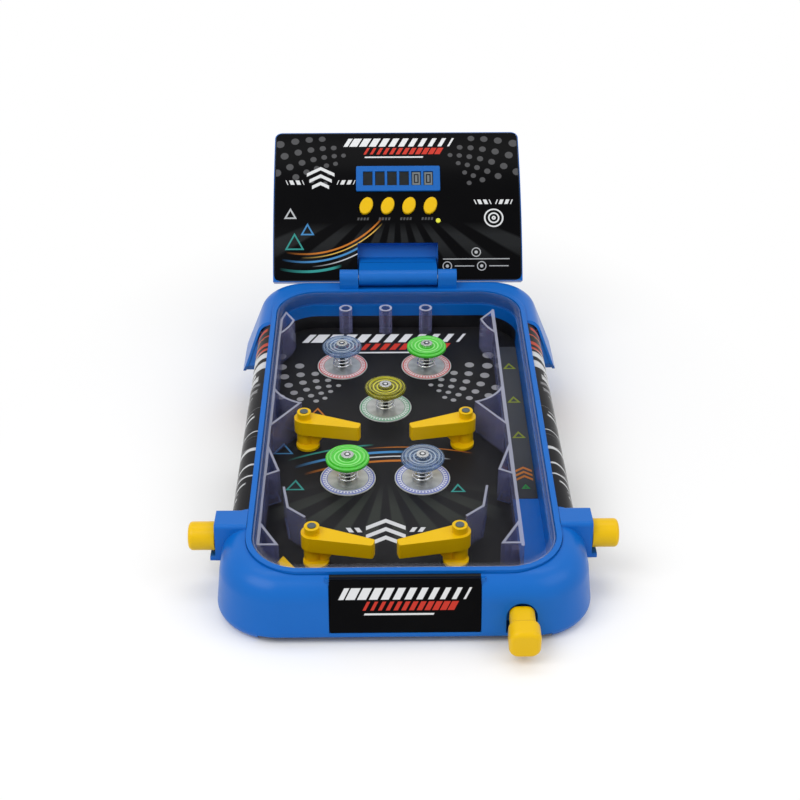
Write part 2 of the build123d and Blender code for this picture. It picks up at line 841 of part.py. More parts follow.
# Flippers on their shafts, whose cranks sit under the tray floor
half_swing = degrees(atan(button_travel / 2 / crank_radius))
flipper_names = (
    (-1, lower_pivot, "lower_left"),
    (1, lower_pivot, "lower_right"),
    (-1, upper_pivot, "upper_left"),
    (1, upper_pivot, "upper_right"),
)
for hand, (reach, pivot_v), name in flipper_names:
    pivot_u = field_u + hand * reach
    blade_turn = flipper_rest if hand < 0 else 180 - flipper_rest
    spot = deck_spot(pivot_u, pivot_v, 0, blade_turn)
    with BuildPart() as flipper:
        with BuildSketch(spot.offset(flipper_low_w)):
            with BuildLine():
                Polyline(
                    (0, -hand * 8.0),
                    (flipper_length, -hand * 3.7),
                    (flipper_length, hand * 3.4),
                    (0, hand * 8.4),
                    close=True,
                )
            make_face()
            fillet(vertices().group_by(Axis.X)[-1], 1.8)
        extrude(amount=flipper_high_w - flipper_low_w)
        with BuildSketch(spot.offset(flipper_low_w)):
            Circle(8.2)
        extrude(amount=flipper_high_w - flipper_low_w)
        with BuildSketch(spot.offset(2.6)):
            Circle(flipper_hub_dia / 2)
        extrude(amount=flipper_low_w - 2.6)
        with BuildSketch(spot.offset(flipper_high_w)):
            Circle(5.65)
        extrude(amount=flipper_boss_w - flipper_high_w)
        with BuildSketch(spot.offset(0.4)):
            with Locations((3.5, hand * 3)):
                Circle(9.6)
        extrude(amount=2.2)
        with BuildSketch(Plane(origin=spot.origin, x_dir=spot.x_dir, z_dir=-spot.y_dir).offset(-2.2)):
            with BuildLine():
                Polyline((0, 2.6), (11, 2.6), (19, flipper_low_w + 1), (0, flipper_low_w + 1), close=True)
            make_face()
        extrude(amount=4.4)
        with BuildSketch(spot):
            Circle(shaft_dia / 2 + shaft_fit)
        extrude(amount=40, mode=Mode.SUBTRACT)
    flipper_name = "flipper_" + name
    flipper.part.label = flipper_name
    export_step(flipper.part, "parts/" + flipper_name + ".step")

    crank_turn = -90 + hand * half_swing
    crank_spot = deck_spot(pivot_u, pivot_v, crank_low_w, crank_turn)
    with BuildPart() as flipper_shaft:
        with BuildSketch(crank_spot):
            Circle(shaft_dia / 2)
        extrude(amount=shaft_top_w - crank_low_w)
        with BuildSketch(crank_spot):
            Circle(5.2)
            with Locations((crank_radius / 2 + 1.6, 0)):
                SlotOverall(crank_radius + 9.4, 7.6)
            with Locations((crank_radius + 0.5, 0)):
                SlotOverall(slot_width + 2.6, slot_width, mode=Mode.SUBTRACT)
        extrude(amount=crank_high_w - crank_low_w)
    shaft_name = "flipper_shaft_" + name
    flipper_shaft.part.label = shaft_name
    export_step(flipper_shaft.part, "parts/" + shaft_name + ".step")

# Side buttons, push bars under the floor and their return springs
for hand, name in ((-1, "left"), (1, "right")):
    out = Plane(origin=(0, deck_y + button_y, button_z), x_dir=(0, 1, 0), z_dir=(hand, 0, 0))
    with BuildPart() as button:
        with BuildSketch(out.offset(button_face)):
            Circle(button_dia / 2)
        extrude(amount=button_tip - button_face)
        fillet(button.faces().sort_by(Axis((0, 0, 0), (hand, 0, 0)))[-1].edges(), 3.2)
        with BuildSketch(out.offset(leg_outer - leg_thick)):
            Circle(stem_dia / 2)
        extrude(amount=button_face - leg_outer + leg_thick)
        with BuildSketch(out.offset(leg_outer - leg_thick)):
            with Locations((0, -hand * 15.4)):
                Rectangle(16, 39)
        extrude(amount=leg_thick)
    button.part.label = "button_" + name
    export_step(button.part, "parts/button_" + name + ".step")

    lower_u = field_u + hand * (lower_pivot[0] + button_travel / 2)
    upper_u = field_u + hand * (upper_pivot[0] + button_travel / 2)
    lower_pin_v = lower_pivot[1] - crank_radius
    upper_pin_v = upper_pivot[1] - crank_radius
    run_u = upper_u + hand * 1.0
    leg_low_u = hand * (leg_outer - leg_thick / 2)
    leg_v = button_y * tilt_cos + (9.2 - deck_z) * tilt_sin
    with BuildPart() as push_bar:
        with BuildSketch(deck.offset(bar_low_w)):
            with Locations((run_u, (lower_pin_v + upper_pin_v) / 2)):
                Rectangle(9, upper_pin_v - lower_pin_v + 9)
            with Locations(((lower_u + run_u) / 2 - hand * 2, lower_pin_v)):
                Rectangle(abs(run_u - lower_u) + 6, 9)
            with Locations(((run_u + leg_low_u) / 2, leg_v)):
                Rectangle(abs(leg_low_u - run_u) + 6, 22)
            with Locations((leg_low_u, leg_v)):
                Rectangle(leg_thick + 0.2, 17.2, mode=Mode.SUBTRACT)
        extrude(amount=bar_high_w - bar_low_w)
        with BuildSketch(deck.offset(bar_high_w)):
            with Locations((lower_u, lower_pin_v), (upper_u, upper_pin_v)):
                Circle(link_pin / 2)
        extrude(amount=3.4)
        with BuildSketch(deck.offset(bar_high_w)):
            with Locations((run_u - hand * 3.5, return_v)):
                Rectangle(2, 8)
        extrude(amount=4.0)
    push_bar.part.label = "push_bar_" + name
    export_step(push_bar.part, "parts/push_bar_" + name + ".step")

    tab_u = run_u - hand * 4.5
    fixed_u = field_u + hand * (37 + 1.2)
    spring_length = abs(tab_u - fixed_u) - return_wire - 0.6
    return_spring = biarc_spring(
        deck_point(fixed_u + hand * (return_wire / 2 + 0.3), return_v, -6.4),
        deck.x_dir * hand,
        deck.y_dir,
        return_coil,
        return_coil,
        spring_length / return_turns,
        return_turns,
        return_wire,
    )
    return_spring.label = "return_spring_" + name
    export_step(return_spring, "parts/return_spring_" + name + ".step")

# Launch plunger, its spring and the ball in front of the hammer
shot = Plane(origin=deck_point(plunger_u, 0, plunger_w), x_dir=(1, 0, 0), z_dir=-deck.y_dir)
with BuildPart() as plunger:
    with BuildSketch(shot.offset(-knob_rear_v)):
        RectangleRounded(knob_dia, knob_dia, knob_corner)
    extrude(amount=knob_rear_v - knob_front_v)
    fillet(plunger.edges().filter_by(Axis(shot.origin, shot.z_dir), reverse=True), 3.6)
    with BuildSketch(shot.offset(-stem_end_v)):
        RectangleRounded(plunger_stem_dia, plunger_stem_dia - 1, plunger_stem_corner)
    extrude(amount=stem_end_v - knob_rear_v + 5)
    with BuildSketch(shot.offset(-hammer_v)):
        Circle(rod_dia / 2)
    extrude(amount=hammer_v - stem_end_v)
    with BuildSketch(shot.offset(-hammer_v)):
        with Locations(((103 - 77) / 2 + 77 - plunger_u, -1.6)):
            RectangleRounded(26, 12, 2)
    extrude(amount=hammer_thick)
plunger.part.label = "plunger"
export_step(plunger.part, "parts/plunger.step")

spring_front_v = bracket_v + bracket_thick + launch_wire / 2 + 0.3
spring_rear_v = hammer_v - hammer_thick - launch_wire / 2 - 0.3
launch_spring = biarc_spring(
    deck_point(plunger_u, spring_front_v, plunger_w),
    deck.y_dir,
    deck.x_dir,
    launch_coil,
    launch_coil,
    (spring_rear_v - spring_front_v) / launch_turns,
    launch_turns,
    launch_wire,
)
launch_spring.label = "launch_spring"
export_step(launch_spring, "parts/launch_spring.step")

with BuildPart() as ball:
    with Locations(deck_point(ball_u, ball_v, ball_dia / 2)):
        Sphere(ball_dia / 2)
ball.part.label = "ball"
export_step(ball.part, "parts/ball.step")

def face_spot(arc, rise=0.0):
    """Plane lying on the curved face, its normal pointing at the player."""
    angle = radians(board_lean) + arc / board_radius
    y, z = face_place(arc, rise)
    return Plane(
        origin=(0, deck_y + y, z), x_dir=(1, 0, 0), z_dir=(0, -cos(angle), sin(angle))
    )


def face_slab(low, high, under, over, half):
    """Slab following the curved face between two arc places."""
    middle = (low + high) / 2
    with BuildPart() as slab:
        with BuildSketch(side_view.offset(-half)):
            with BuildLine():
                ThreePointArc(
                    face_place(low, over), face_place(middle, over), face_place(high, over)
                )
                Line(face_place(high, over), face_place(high, under))
                ThreePointArc(
                    face_place(high, under), face_place(middle, under), face_place(low, under)
                )
                Line(face_place(low, under), face_place(low, over))
            make_face()
        extrude(amount=2 * half)
    return slab.part


def board_body(inset):
    """Outside or inside form of the scoreboard housing."""
    low, high = inset, board_arc - inset
    with BuildPart() as body:
        with BuildSketch(side_view.offset(inset - board_half)):
            with BuildLine():
                ThreePointArc(face_place(low), face_place(board_arc / 2), face_place(high))
                Line(face_place(high), face_place(high, inset - 10))
                ThreePointArc(
                    face_place(high, inset - 10),
                    face_place(76, inset - 33),
                    face_place(low, inset - 18),
                )
                Line(face_place(low, inset - 18), face_place(low))
            make_face()
        extrude(amount=2 * (board_half - inset))
    return body.part


door_half = 33.0
door_low = 44.0
door_high = 104.0
with BuildPart() as board_pocket:
    with BuildSketch(face_spot(notch_arc / 2 - 10)):
        Rectangle(2 * (notch_half + board_wall), notch_arc + 20 + 2 * board_wall)
    extrude(amount=-notch_depth - board_wall)
with BuildPart() as board_hollow:
    add(board_body(board_wall))
    add(board_pocket.part, mode=Mode.SUBTRACT)
with BuildPart() as door_hole:
    with BuildSketch(face_spot((door_low + door_high) / 2, -22)):
        RectangleRounded(2 * door_half, door_high - door_low, 4)
    extrude(amount=-30)

with BuildPart() as board_housing:
    add(board_body(0))
    fillet(board_housing.edges().filter_by(Axis.X, reverse=True).group_by(SortBy.LENGTH)[0], board_round)
    add(board_hollow.part, mode=Mode.SUBTRACT)
    add(
        face_slab(
            face_border - 0.2,
            board_arc - face_border + 0.2,
            -face_thick,
            2,
            board_half - face_border + 0.2,
        ),
        mode=Mode.SUBTRACT,
    )
    with BuildSketch(face_spot(notch_arc / 2 - 10)):
        Rectangle(2 * notch_half, notch_arc + 20)
    extrude(amount=-notch_depth, mode=Mode.SUBTRACT)
    add(door_hole.part, mode=Mode.SUBTRACT)
    with BuildSketch(side_view.offset(-arm_half)):
        with Locations(axis_point):
            Circle(knuckle_radius)
        with BuildLine():
            Polyline(
                (axis_y, axis_z + knuckle_radius),
                arm_high,
                arm_low,
                (axis_y, arm_under),
                close=True,
            )
        make_face()
    extrude(amount=2 * arm_half)
    with BuildSketch(side_view.offset(-60)):
        with Locations(axis_point):
            Circle(hinge_pin_dia / 2 + shaft_fit)
    extrude(amount=120, mode=Mode.SUBTRACT)
board_housing.part.label = "board_housing"
export_step(board_housing.part, "parts/board_housing.step")

# Battery door let into the scoreboard's back
with BuildPart() as battery_door:
    add(board_body(0))
    add(board_body(board_wall), mode=Mode.SUBTRACT)
    with BuildSketch(face_spot((door_low + door_high) / 2, -22)):
        RectangleRounded(2 * door_half - 0.5, door_high - door_low - 0.5, 3.8)
    extrude(amount=-30, mode=Mode.INTERSECT)
battery_door.part.label = "battery_door"
export_step(battery_door.part, "parts/battery_door.step")

# Black curved face with its notch, display window, key holes and lamp hole
key_places = [display_u + key_pitch * (k - 1.5) for k in range(4)]
with BuildPart() as board_face:
    add(
        face_slab(
            face_border, board_arc - face_border, -face_thick, 0, board_half - face_border
        )
    )
    with BuildSketch(face_spot(notch_arc / 2 - 10, 5)):
        Rectangle(2 * notch_half + 0.4, notch_arc + 20.4)
    extrude(amount=-30, mode=Mode.SUBTRACT)
    with BuildSketch(face_spot(display_arc, 5)):
        with Locations((display_u, 0)):
            Rectangle(display_width + 0.4, display_height + 0.4)
    extrude(amount=-12, mode=Mode.SUBTRACT)
    with BuildSketch(face_spot(key_arc, 5)):
        for key_u in key_places:
            with Locations((key_u, 0)):
                Ellipse(key_long / 2 + 0.3, key_short / 2 + 0.3, rotation=90 - key_lean)
    extrude(amount=-12, mode=Mode.SUBTRACT)
    with BuildSketch(face_spot(lamp_arc, 5)):
        with Locations((lamp_u, 0)):
            Circle(lamp_dia / 2 + shaft_fit)
    extrude(amount=-12, mode=Mode.SUBTRACT)
board_face.part.label = "board_face"
export_step(board_face.part, "parts/board_face.step")

# Display bezel with six windows and the digit block behind it
digit_places = [display_u + digit_pitch * (k - 2.5) for k in range(6)]
display_spot = face_spot(display_arc)
with BuildPart() as display_bezel:
    with BuildSketch(display_spot.offset(-4)):
        with Locations((display_u, 0)):
            RectangleRounded(display_width, display_height, 1.5)
        for digit_u in digit_places:
            with Locations((digit_u, 0)):
                Rectangle(digit_width, digit_height, mode=Mode.SUBTRACT)
    extrude(amount=5.4)
display_bezel.part.label = "display_bezel"
export_step(display_bezel.part, "parts/display_bezel.step")

with BuildPart() as digit_block:
    with BuildSketch(display_spot.offset(-11)):
        with Locations((display_u, 0)):
            Rectangle(display_width - 4, display_height - 4)
    extrude(amount=7)
    with BuildSketch(display_spot.offset(-4)):
        for digit_u in digit_places:
            with Locations((digit_u, 0)):
                Rectangle(digit_width - 0.4, digit_height - 0.4)
    extrude(amount=4.6)
digit_block.part.label = "digit_block"
export_step(digit_block.part, "parts/digit_block.step")

# Circuit board behind the display and keys, with the lamp standing on it
board_plane = face_spot((display_arc + lamp_arc) / 2, -board_depth)
lamp_tip = face_spot(lamp_arc, lamp_rise)
lamp_length = abs(board_plane.to_local_coords(lamp_tip.origin).Z) + lamp_seat
with BuildPart() as circuit_board:
    with BuildSketch(board_plane):
        with Locations((4, 0)):
            Rectangle(104, 66)
    extrude(amount=-1.6)
    with BuildSketch(lamp_tip):
        with Locations((lamp_u, 0)):
            Circle(lamp_dia / 2)
    extrude(amount=-lamp_length)
circuit_board.part.label = "circuit_board"
export_step(circuit_board.part, "parts/circuit_board.step")

# Four slanted oval keys
for number, key_u in enumerate(key_places, start=1):
    with BuildPart() as board_key:
        with BuildSketch(face_spot(key_arc, -8)):
            with Locations((key_u, 0)):
                Ellipse(key_long / 2, key_short / 2, rotation=90 - key_lean)
        extrude(amount=8 + key_rise)
        fillet(board_key.faces().sort_by(Axis((0, 0, 0), tuple(face_spot(key_arc).z_dir)))[-1].edges(), 1.2)
    key_name = "board_key_" + str(number)
    board_key.part.label = key_name
    export_step(board_key.part, "parts/" + key_name + ".step")

# Hinge pin through ears and arm
with BuildPart() as hinge_pin:
    with BuildSketch(side_view.offset(-ear_outer)):
        with Locations(axis_point):
            Circle(hinge_pin_dia / 2)
    extrude(amount=2 * ear_outer)
hinge_pin.part.label = "hinge_pin"
export_step(hinge_pin.part, "parts/hinge_pin.step")
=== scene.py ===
import math

import bmesh
import bpy
from bpy.props import FloatProperty, FloatVectorProperty, PointerProperty
from mathutils import Matrix, Vector


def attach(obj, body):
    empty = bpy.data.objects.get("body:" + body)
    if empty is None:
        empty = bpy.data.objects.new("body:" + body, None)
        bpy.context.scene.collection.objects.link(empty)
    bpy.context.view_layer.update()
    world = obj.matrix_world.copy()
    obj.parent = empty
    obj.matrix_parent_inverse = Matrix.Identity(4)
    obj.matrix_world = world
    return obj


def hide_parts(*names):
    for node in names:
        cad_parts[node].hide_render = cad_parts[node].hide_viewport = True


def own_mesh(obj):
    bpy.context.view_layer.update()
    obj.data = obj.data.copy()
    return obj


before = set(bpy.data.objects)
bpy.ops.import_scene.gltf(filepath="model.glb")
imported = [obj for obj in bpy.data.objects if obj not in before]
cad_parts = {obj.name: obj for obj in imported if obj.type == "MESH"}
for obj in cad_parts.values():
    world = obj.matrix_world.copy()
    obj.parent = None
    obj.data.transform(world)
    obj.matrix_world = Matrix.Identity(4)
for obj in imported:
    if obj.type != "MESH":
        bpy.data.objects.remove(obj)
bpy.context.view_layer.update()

bl_info = {
    "name": "Tabletop Pinball Finish",
    "version": (1, 0, 0),
    "blender": (4, 5, 0),
    "location": "View3D > Sidebar > Pinball",
    "description": "Paints, prints and lights a small moulded pinball game",
    "category": "Material",
}

# Directions of the model
ACROSS = (1.0, 0.0, 0.0)
BACK = (0.0, 1.0, 0.0)
UP = (0.0, 0.0, 1.0)

# Places on the sloping deck, in millimetres: across, up the slope and square to it
DECK_Y = -85.31
DECK_Z = 30.0
DECK_TILT = math.radians(6.0)
FIELD_U = -13.0
BUMPERS = ((-50.3, 167.5), (24.0, 166.5), (-12.5, 101.7), (-42.7, 2.0), (16.3, 2.0))
PLATE_RADIUS = 22.0
CAP_RADIUS = 17.3
LANE_U = 97.4
LAUNCH_U, LAUNCH_V, LAUNCH_W = 81.0, -158.2, 8.0
RETURN_REACH, RETURN_V, RETURN_W = 38.9, -30.0, -6.4
LAUNCH_TRAVEL, RETURN_TRAVEL = 15.0, 7.0

# Case, clear cover and label, in millimetres from the model's origin
WING_TIP_Y, WING_TIP_Z = 158.8, 52.0
WING_FOOT_Y, WING_FOOT_Z = 162.8, 46.0
WING_TOP_Z = 71.0
HOOD_LOW = 44.0
HOOD_HALF = 136.2
HOOD_LEAN = math.tan(math.radians(22.0))
PANEL_HALF = 131.6
PANEL_LEAN = math.tan(math.radians(6.0))
COVER_WIDTH = 217.0
COVER_LENGTH = 384.0
COVER_MID = 44.0
COVER_CORNER = 36.0
COVER_TOP = 34.8
LABEL_HALF = 52.6
LABEL_CREST_Y = -240.4
LABEL_CREST_Z = 46.6

# Bowed scoreboard face, in millimetres across it and up its arc
BOARD_RADIUS = 282.0
BOARD_ARC = 154.0
BOARD_HALF = 116.0
BOARD_CORNER = 7.0
BOARD_LEAN = math.radians(28.6)
BOW_Y = 258.0 + BOARD_RADIUS * math.cos(BOARD_LEAN) + DECK_Y
BOW_Z = 89.3 - BOARD_RADIUS * math.sin(BOARD_LEAN)
DISPLAY_ARC = 100.3
DIGITS_LEFT = -27.6
DIGIT_PITCH = 11.4
KEY_PLACES = (-29.1, -9.1, 10.9, 30.9)
LAMP_ARC = 57.4
LAMP_U = 38.0
FACE_LIP = 0.6

# Colours that several finishes share
PRINT_BLACK = (0.003, 0.003, 0.004)
BAND_WHITE = (0.72, 0.73, 0.74)
BAND_RED = (0.55, 0.045, 0.03)
MARK_WHITE = (0.62, 0.63, 0.64)
WHITE = (1.0, 1.0, 1.0, 1.0)

# Tool textures of the mouldings: patch size and depth, in millimetres
SATIN = (0.5, 0.02)
FINE = (0.4, 0.015)
DULL = (0.7, 0.03)
COARSE = (0.7, 0.04)

# Camera and lamps, in metres
CAMERA_PLACE = (-0.0132, -1.06861, 0.6257)
CAMERA_FORWARD = (0.0106, 0.8825, -0.4702)
CAMERA_RIGHT = (0.99992, -0.01267, -0.00133)
LAMP_AIM = (0.0, 0.0, 0.05)
FLOOR_DROP = 0.0004


def opaque(colour):
    """A plain colour with its fourth number, or a wired one as it is."""
    return colour if isinstance(colour, Wire) else (*colour[:3], 1.0)


class Wire:
    """One shader value that takes part in Python arithmetic."""

    def __init__(self, recipe, socket):
        self.recipe = recipe
        self.socket = socket

    def __add__(self, other):
        return self.recipe.sum("ADD", self, other)

    def __radd__(self, other):
        return self.recipe.sum("ADD", other, self)

    def __sub__(self, other):
        return self.recipe.sum("SUBTRACT", self, other)

    def __rsub__(self, other):
        return self.recipe.sum("SUBTRACT", other, self)

    def __mul__(self, other):
        return self.recipe.sum("MULTIPLY", self, other)

    def __rmul__(self, other):
        return self.recipe.sum("MULTIPLY", other, self)

    def __truediv__(self, other):
        return self.recipe.sum("DIVIDE", self, other)

    def __pow__(self, other):
        return self.recipe.sum("POWER", self, other)

    def __abs__(self):
        return self.recipe.sum("ABSOLUTE", self)

    def fraction(self):
        return self.recipe.sum("FRACT", self)

    def root(self):
        return self.recipe.sum("SQRT", self)

    def sine(self):
        return self.recipe.sum("SINE", self)

    def least(self, other):
        return self.recipe.sum("MINIMUM", self, other)

    def most(self, other):
        return self.recipe.sum("MAXIMUM", self, other)

    def hypot(self, other):
        """Length of a line whose two square parts are this value and another."""
        return (self * self + other * other).root()

    def held(self):
        """The value kept between 0 and 1."""
        return self.recipe.node("ShaderNodeClamp", {}, {"Value": self})

    def past(self):
        """1 where the value is above 0, and 0 elsewhere."""
        return (self * 1000.0).held()

    def ink(self, soft=0.25):
        """Print cover from a distance inside an edge, in millimetres."""
        return (self / soft + 0.5).held()

    def outline(self, half):
        """Print cover of a line just inside an edge, of half a given width."""
        return (half - abs(self - half)).ink()


class Recipe:
    """A procedural finish: one material or world and the nodes that make it."""

    def __init__(self, owner):
        if isinstance(owner, str):
            owner = bpy.data.materials.new(owner)
        owner.use_nodes = True
        self.owner = owner
        self.tree = owner.node_tree
        self.tree.nodes.clear()
        self.place = None

    @property
    def spot(self):
        """Place on the surface, in metres from the model's origin."""
        if self.place is None:
            self.place = self.node("ShaderNodeTexCoord", {}, {}, "Object")
        return self.place

    def node(self, kind, settings, sockets, out=0):
        """Adds a node: its settings first, then the values or links of its sockets."""
        made = self.tree.nodes.new(kind)
        for name, value in settings.items():
            setattr(made, name, value)
        for name, value in sockets.items():
            if isinstance(value, Wire):
                self.tree.links.new(value.socket, made.inputs[name])
            else:
                made.inputs[name].default_value = value
        return Wire(self, made.outputs[out]) if made.outputs else None

    def sum(self, operation, *values):
        return self.node("ShaderNodeMath", {"operation": operation}, dict(enumerate(values)))

    def along(self, direction, spot=None):
        """Distance along a direction, in millimetres."""
        scaled = tuple(1000.0 * part for part in direction)
        sockets = {0: spot or self.spot, 1: scaled}
        return self.node("ShaderNodeVectorMath", {"operation": "DOT_PRODUCT"}, sockets, "Value")

    def noise(self, size, detail=2.0, rough=0.5, spot=None):
        """Cloudy noise with patches of about the given size in millimetres."""
        sockets = {
            "Vector": spot or self.spot,
            "Scale": 1000.0 / size,
            "Detail": detail,
            "Roughness": rough,
        }
        return self.node("ShaderNodeTexNoise", {"noise_dimensions": "3D"}, sockets, "Fac")

    def stretched(self, factors):
        """The surface place, stretched along its axes."""
        sockets = {0: self.spot, 1: factors}
        return self.node("ShaderNodeVectorMath", {"operation": "MULTIPLY"}, sockets, "Vector")

    def lay(self, under, over, cover):
        """One colour laid over another."""
        settings = {"data_type": "RGBA", "blend_type": "MIX", "clamp_factor": True}
        sockets = {0: cover, 6: opaque(under), 7: opaque(over)}
        return self.node("ShaderNodeMix", settings, sockets, 2)

    def bump(self, height, strength, depth, normal=None):
        """Surface relief of a depth in millimetres."""
        sockets = {"Strength": strength, "Distance": depth / 1000.0, "Height": height}
        if normal is not None:
            sockets["Normal"] = normal
        return self.node("ShaderNodeBump", {}, sockets, "Normal")

    def soft_edge(self, radius):
        """Shading normal that rounds sharp edges over a radius in millimetres."""
        return self.node("ShaderNodeBevel", {"samples": 4}, {"Radius": radius / 1000.0}, "Normal")

    def shader(self, **sockets):
        """The main shader, its sockets named with underscores for spaces."""
        named = {}
        for name, value in sockets.items():
            title = name.replace("_", " ").title().replace("Ior", "IOR")
            if isinstance(value, tuple) and len(value) == 3 and "Color" in title:
                value = (*value, 1.0)
            named[title] = value
        return self.node("ShaderNodeBsdfPrincipled", {}, named, "BSDF")

    def finish(self, surface):
        self.node("ShaderNodeOutputMaterial", {}, {"Surface": surface})
        return self.owner


class Sheet:
    """Two printing directions on a finish, in millimetres, and shapes drawn on them."""

    def __init__(self, recipe, u, v):
        self.recipe = recipe
        self.u = u
        self.v = v

    def disc(self, u, v, radius):
        """Distance inside a disc."""
        return radius - (self.u - u).hypot(self.v - v)

    def ring(self, u, v, radius, width):
        """Distance inside a ring."""
        return width / 2 - abs(self.disc(u, v, radius))

    def block(self, u, v, width, height, slant=0.0):
        """Distance inside an upright or slanted block."""
        up = self.v - v
        across = self.u - u - up * slant
        return (width / 2 - abs(across)).least(height / 2 - abs(up))

    def rounded(self, u, v, width, height, corner):
        """Distance inside a block with round corners."""
        across = abs(self.u - u) - (width / 2 - corner)
        up = abs(self.v - v) - (height / 2 - corner)
        beyond = across.most(0.0).hypot(up.most(0.0))
        return corner - beyond - across.most(up).least(0.0)

    def bars(self, u, v, width, height, pitch, cover, slant=0.35, fade=0.0):
        """Distance inside a row of slanted bars, which may thin out along the row."""
        up = self.v - v
        across = self.u - u - up * slant
        phase = abs((across / pitch).fraction() - 0.5)
        inside = (cover / 2 - across * (fade / 2 / width) - phase) * pitch
        return inside.least((width / 2 - abs(across)).least(height / 2 - abs(up)))

    def triangle(self, u, v, width, height):
        """Distance inside a triangle that points up."""
        slope = width / 2 / height
        across = abs(self.u - u)
        up = self.v - v
        edge = (slope * (height - up) - across) / math.hypot(1.0, slope)
        return edge.least(up)

    def chevron(self, u, v, width, height, thick):
        """Distance inside an arrow stroke that points up."""
        across = abs(self.u - u)
        line = self.v - v + across * (2.0 * height / width)
        return (thick / 2 - abs(line)).least(width / 2 - across)

    def turn(self, u, v):
        """Angle about a point."""
        return self.recipe.sum("ARCTAN2", self.u - u, self.v - v)

    def rays(self, u, v, count, cover):
        """Cover of rays about a point, by angle alone."""
        phase = abs((self.turn(u, v) * (count / (2 * math.pi))).fraction() - 0.5)
        return ((cover / 2 - phase) * 12.0 + 0.5).held()

    def fill(self, paint, colour, *shapes):
        """Shapes printed in one colour."""
        for shape in shapes:
            paint = self.recipe.lay(paint, colour, shape.ink())
        return paint

    def stripe_band(self, paint, u, v, scale):
        """Two rows of slanted bars that thin out to one side, over a thin line."""
        cover, slant = 0.62, 0.5
        for across, up, width, height, pitch, fade, colour in (
            (0.0, 4.8, 84.0, 8.2, 7.6, 0.5, BAND_WHITE),
            (3.0, -3.8, 62.0, 6.2, 5.2, -0.5, BAND_RED),
        ):
            place = (u + across * scale, v + up * scale)
            size = (width * scale, height * scale, pitch * scale)
            paint = self.fill(paint, colour, self.bars(*place, *size, cover, slant, fade))
        line = self.block(u - 4 * scale, v - 9.6 * scale, 46 * scale, 1.3 * scale, slant)
        return self.fill(paint, BAND_WHITE, line)

    def arc_fan(self, paint, u, v, arcs, lead, trail, cover):
        """Arcs about one point that fade in and out from side to side."""
        for radius, width, colour, start, end in arcs:
            taper = ((self.u - start) / lead).held() * ((end - self.u) / trail).held()
            shown = self.ring(u, v, radius, width).ink() * taper * cover
            paint = self.recipe.lay(paint, colour, shown)
        return paint

    def open_triangles(self, paint, rows):
        """Triangles drawn as thin outlines."""
        for u, v, size, colour in rows:
            line = self.triangle(u, v, size, size * 0.9).outline(0.7)
            paint = self.recipe.lay(paint, colour, line * 0.75)
        return paint

    def dot_burst(self, paint, colour, u, v, near, far, low, high, step):
        """Dots on both sides of a point that swell and spread with their distance from it."""
        recipe = self.recipe
        across = abs(self.u - u)
        up = self.v - v
        reach = across.hypot(up)
        spread = recipe.sum("LOGARITHM", reach, math.e)
        angle = recipe.sum("ARCTAN2", up, across)
        first, second = (spread + angle) / step, (spread - angle) / step
        a, b = first.fraction() - 0.5, second.fraction() - 0.5
        row = (first - a + second - b) * (step / 2)
        turn = (first - a - second + b) * (step / 2)
        keep = (row - math.log(near)).past() * (math.log(far) - row).past()
        keep = keep * (turn - low).past() * (high - turn).past()
        inside = (0.27 - a.hypot(b)) * reach * (step / math.sqrt(2.0))
        return recipe.lay(paint, colour, inside.ink(0.35) * keep)

    def stroke_row(self, paint, colour, lean, pitch, shift, low, high):
        """Leaning brush strokes whose width and length differ from one to the next."""
        recipe = self.recipe
        across = (self.u - self.v * lean + shift) / pitch
        phase = across.fraction() - 0.5
        luck, other = (
            recipe.node(
                "ShaderNodeTexWhiteNoise", {"noise_dimensions": "1D"},
                {"W": across - phase + start}, "Value")
            for start in (0.0, 0.37))
        wander = (recipe.noise(11.0, 2.0) - 0.5) * 0.16
        inside = ((luck - 0.4).most(0.0) * 0.42 - 0.02 - abs(phase + wander)) * pitch
        bottom = self.v - (low + other * 12.0)
        top = high - other * 8.0 - self.v
        return recipe.lay(paint, colour, inside.least(bottom).least(top).ink(0.6) * 0.9)


def shade(colour, level):
    return tuple(part * level for part in colour[:3])


def moulded(name, colour, texture, rough, edge, touch=None):
    """Moulded plastic: soft colour drift, a fine tool texture and rounded edges."""
    recipe = Recipe(name)
    grain, relief = texture
    drift = recipe.noise(26.0, 3.0)
    fine = recipe.noise(grain, 2.0)
    smear = recipe.noise(7.0, 4.0, 0.6, recipe.stretched((1.0, 0.35, 1.0)))
    paint = recipe.lay(shade(colour, 0.9), shade(colour, 1.08), drift)
    paint = recipe.lay(paint, shade(colour, 0.97), fine)
    if touch is not None:
        paint = touch(recipe, paint)
    polish = rough - 0.05 + smear * 0.1
    normal = recipe.bump(fine, 0.35, relief, recipe.soft_edge(edge))
    surface = recipe.shader(
        base_color=paint, roughness=polish, normal=normal, specular_ior_level=0.2
    )
    return recipe.finish(surface)


def printed(recipe, paint, rough, gloss):
    """Gloss varnish over a print, with faint ripple and handling marks."""
    ripple = recipe.noise(9.0, 2.0)
    rub = recipe.noise(3.0, 5.0, 0.65)
    paint = recipe.lay(paint, (0.05, 0.05, 0.055), (rub - 0.62).held() * 0.12)
    normal = recipe.bump(ripple, 0.12, 0.03, recipe.soft_edge(0.4))
    surface = recipe.shader(
        base_color=paint,
        roughness=rough + rub * 0.1,
        normal=normal,
        specular_ior_level=gloss,
    )
    return recipe.finish(surface)


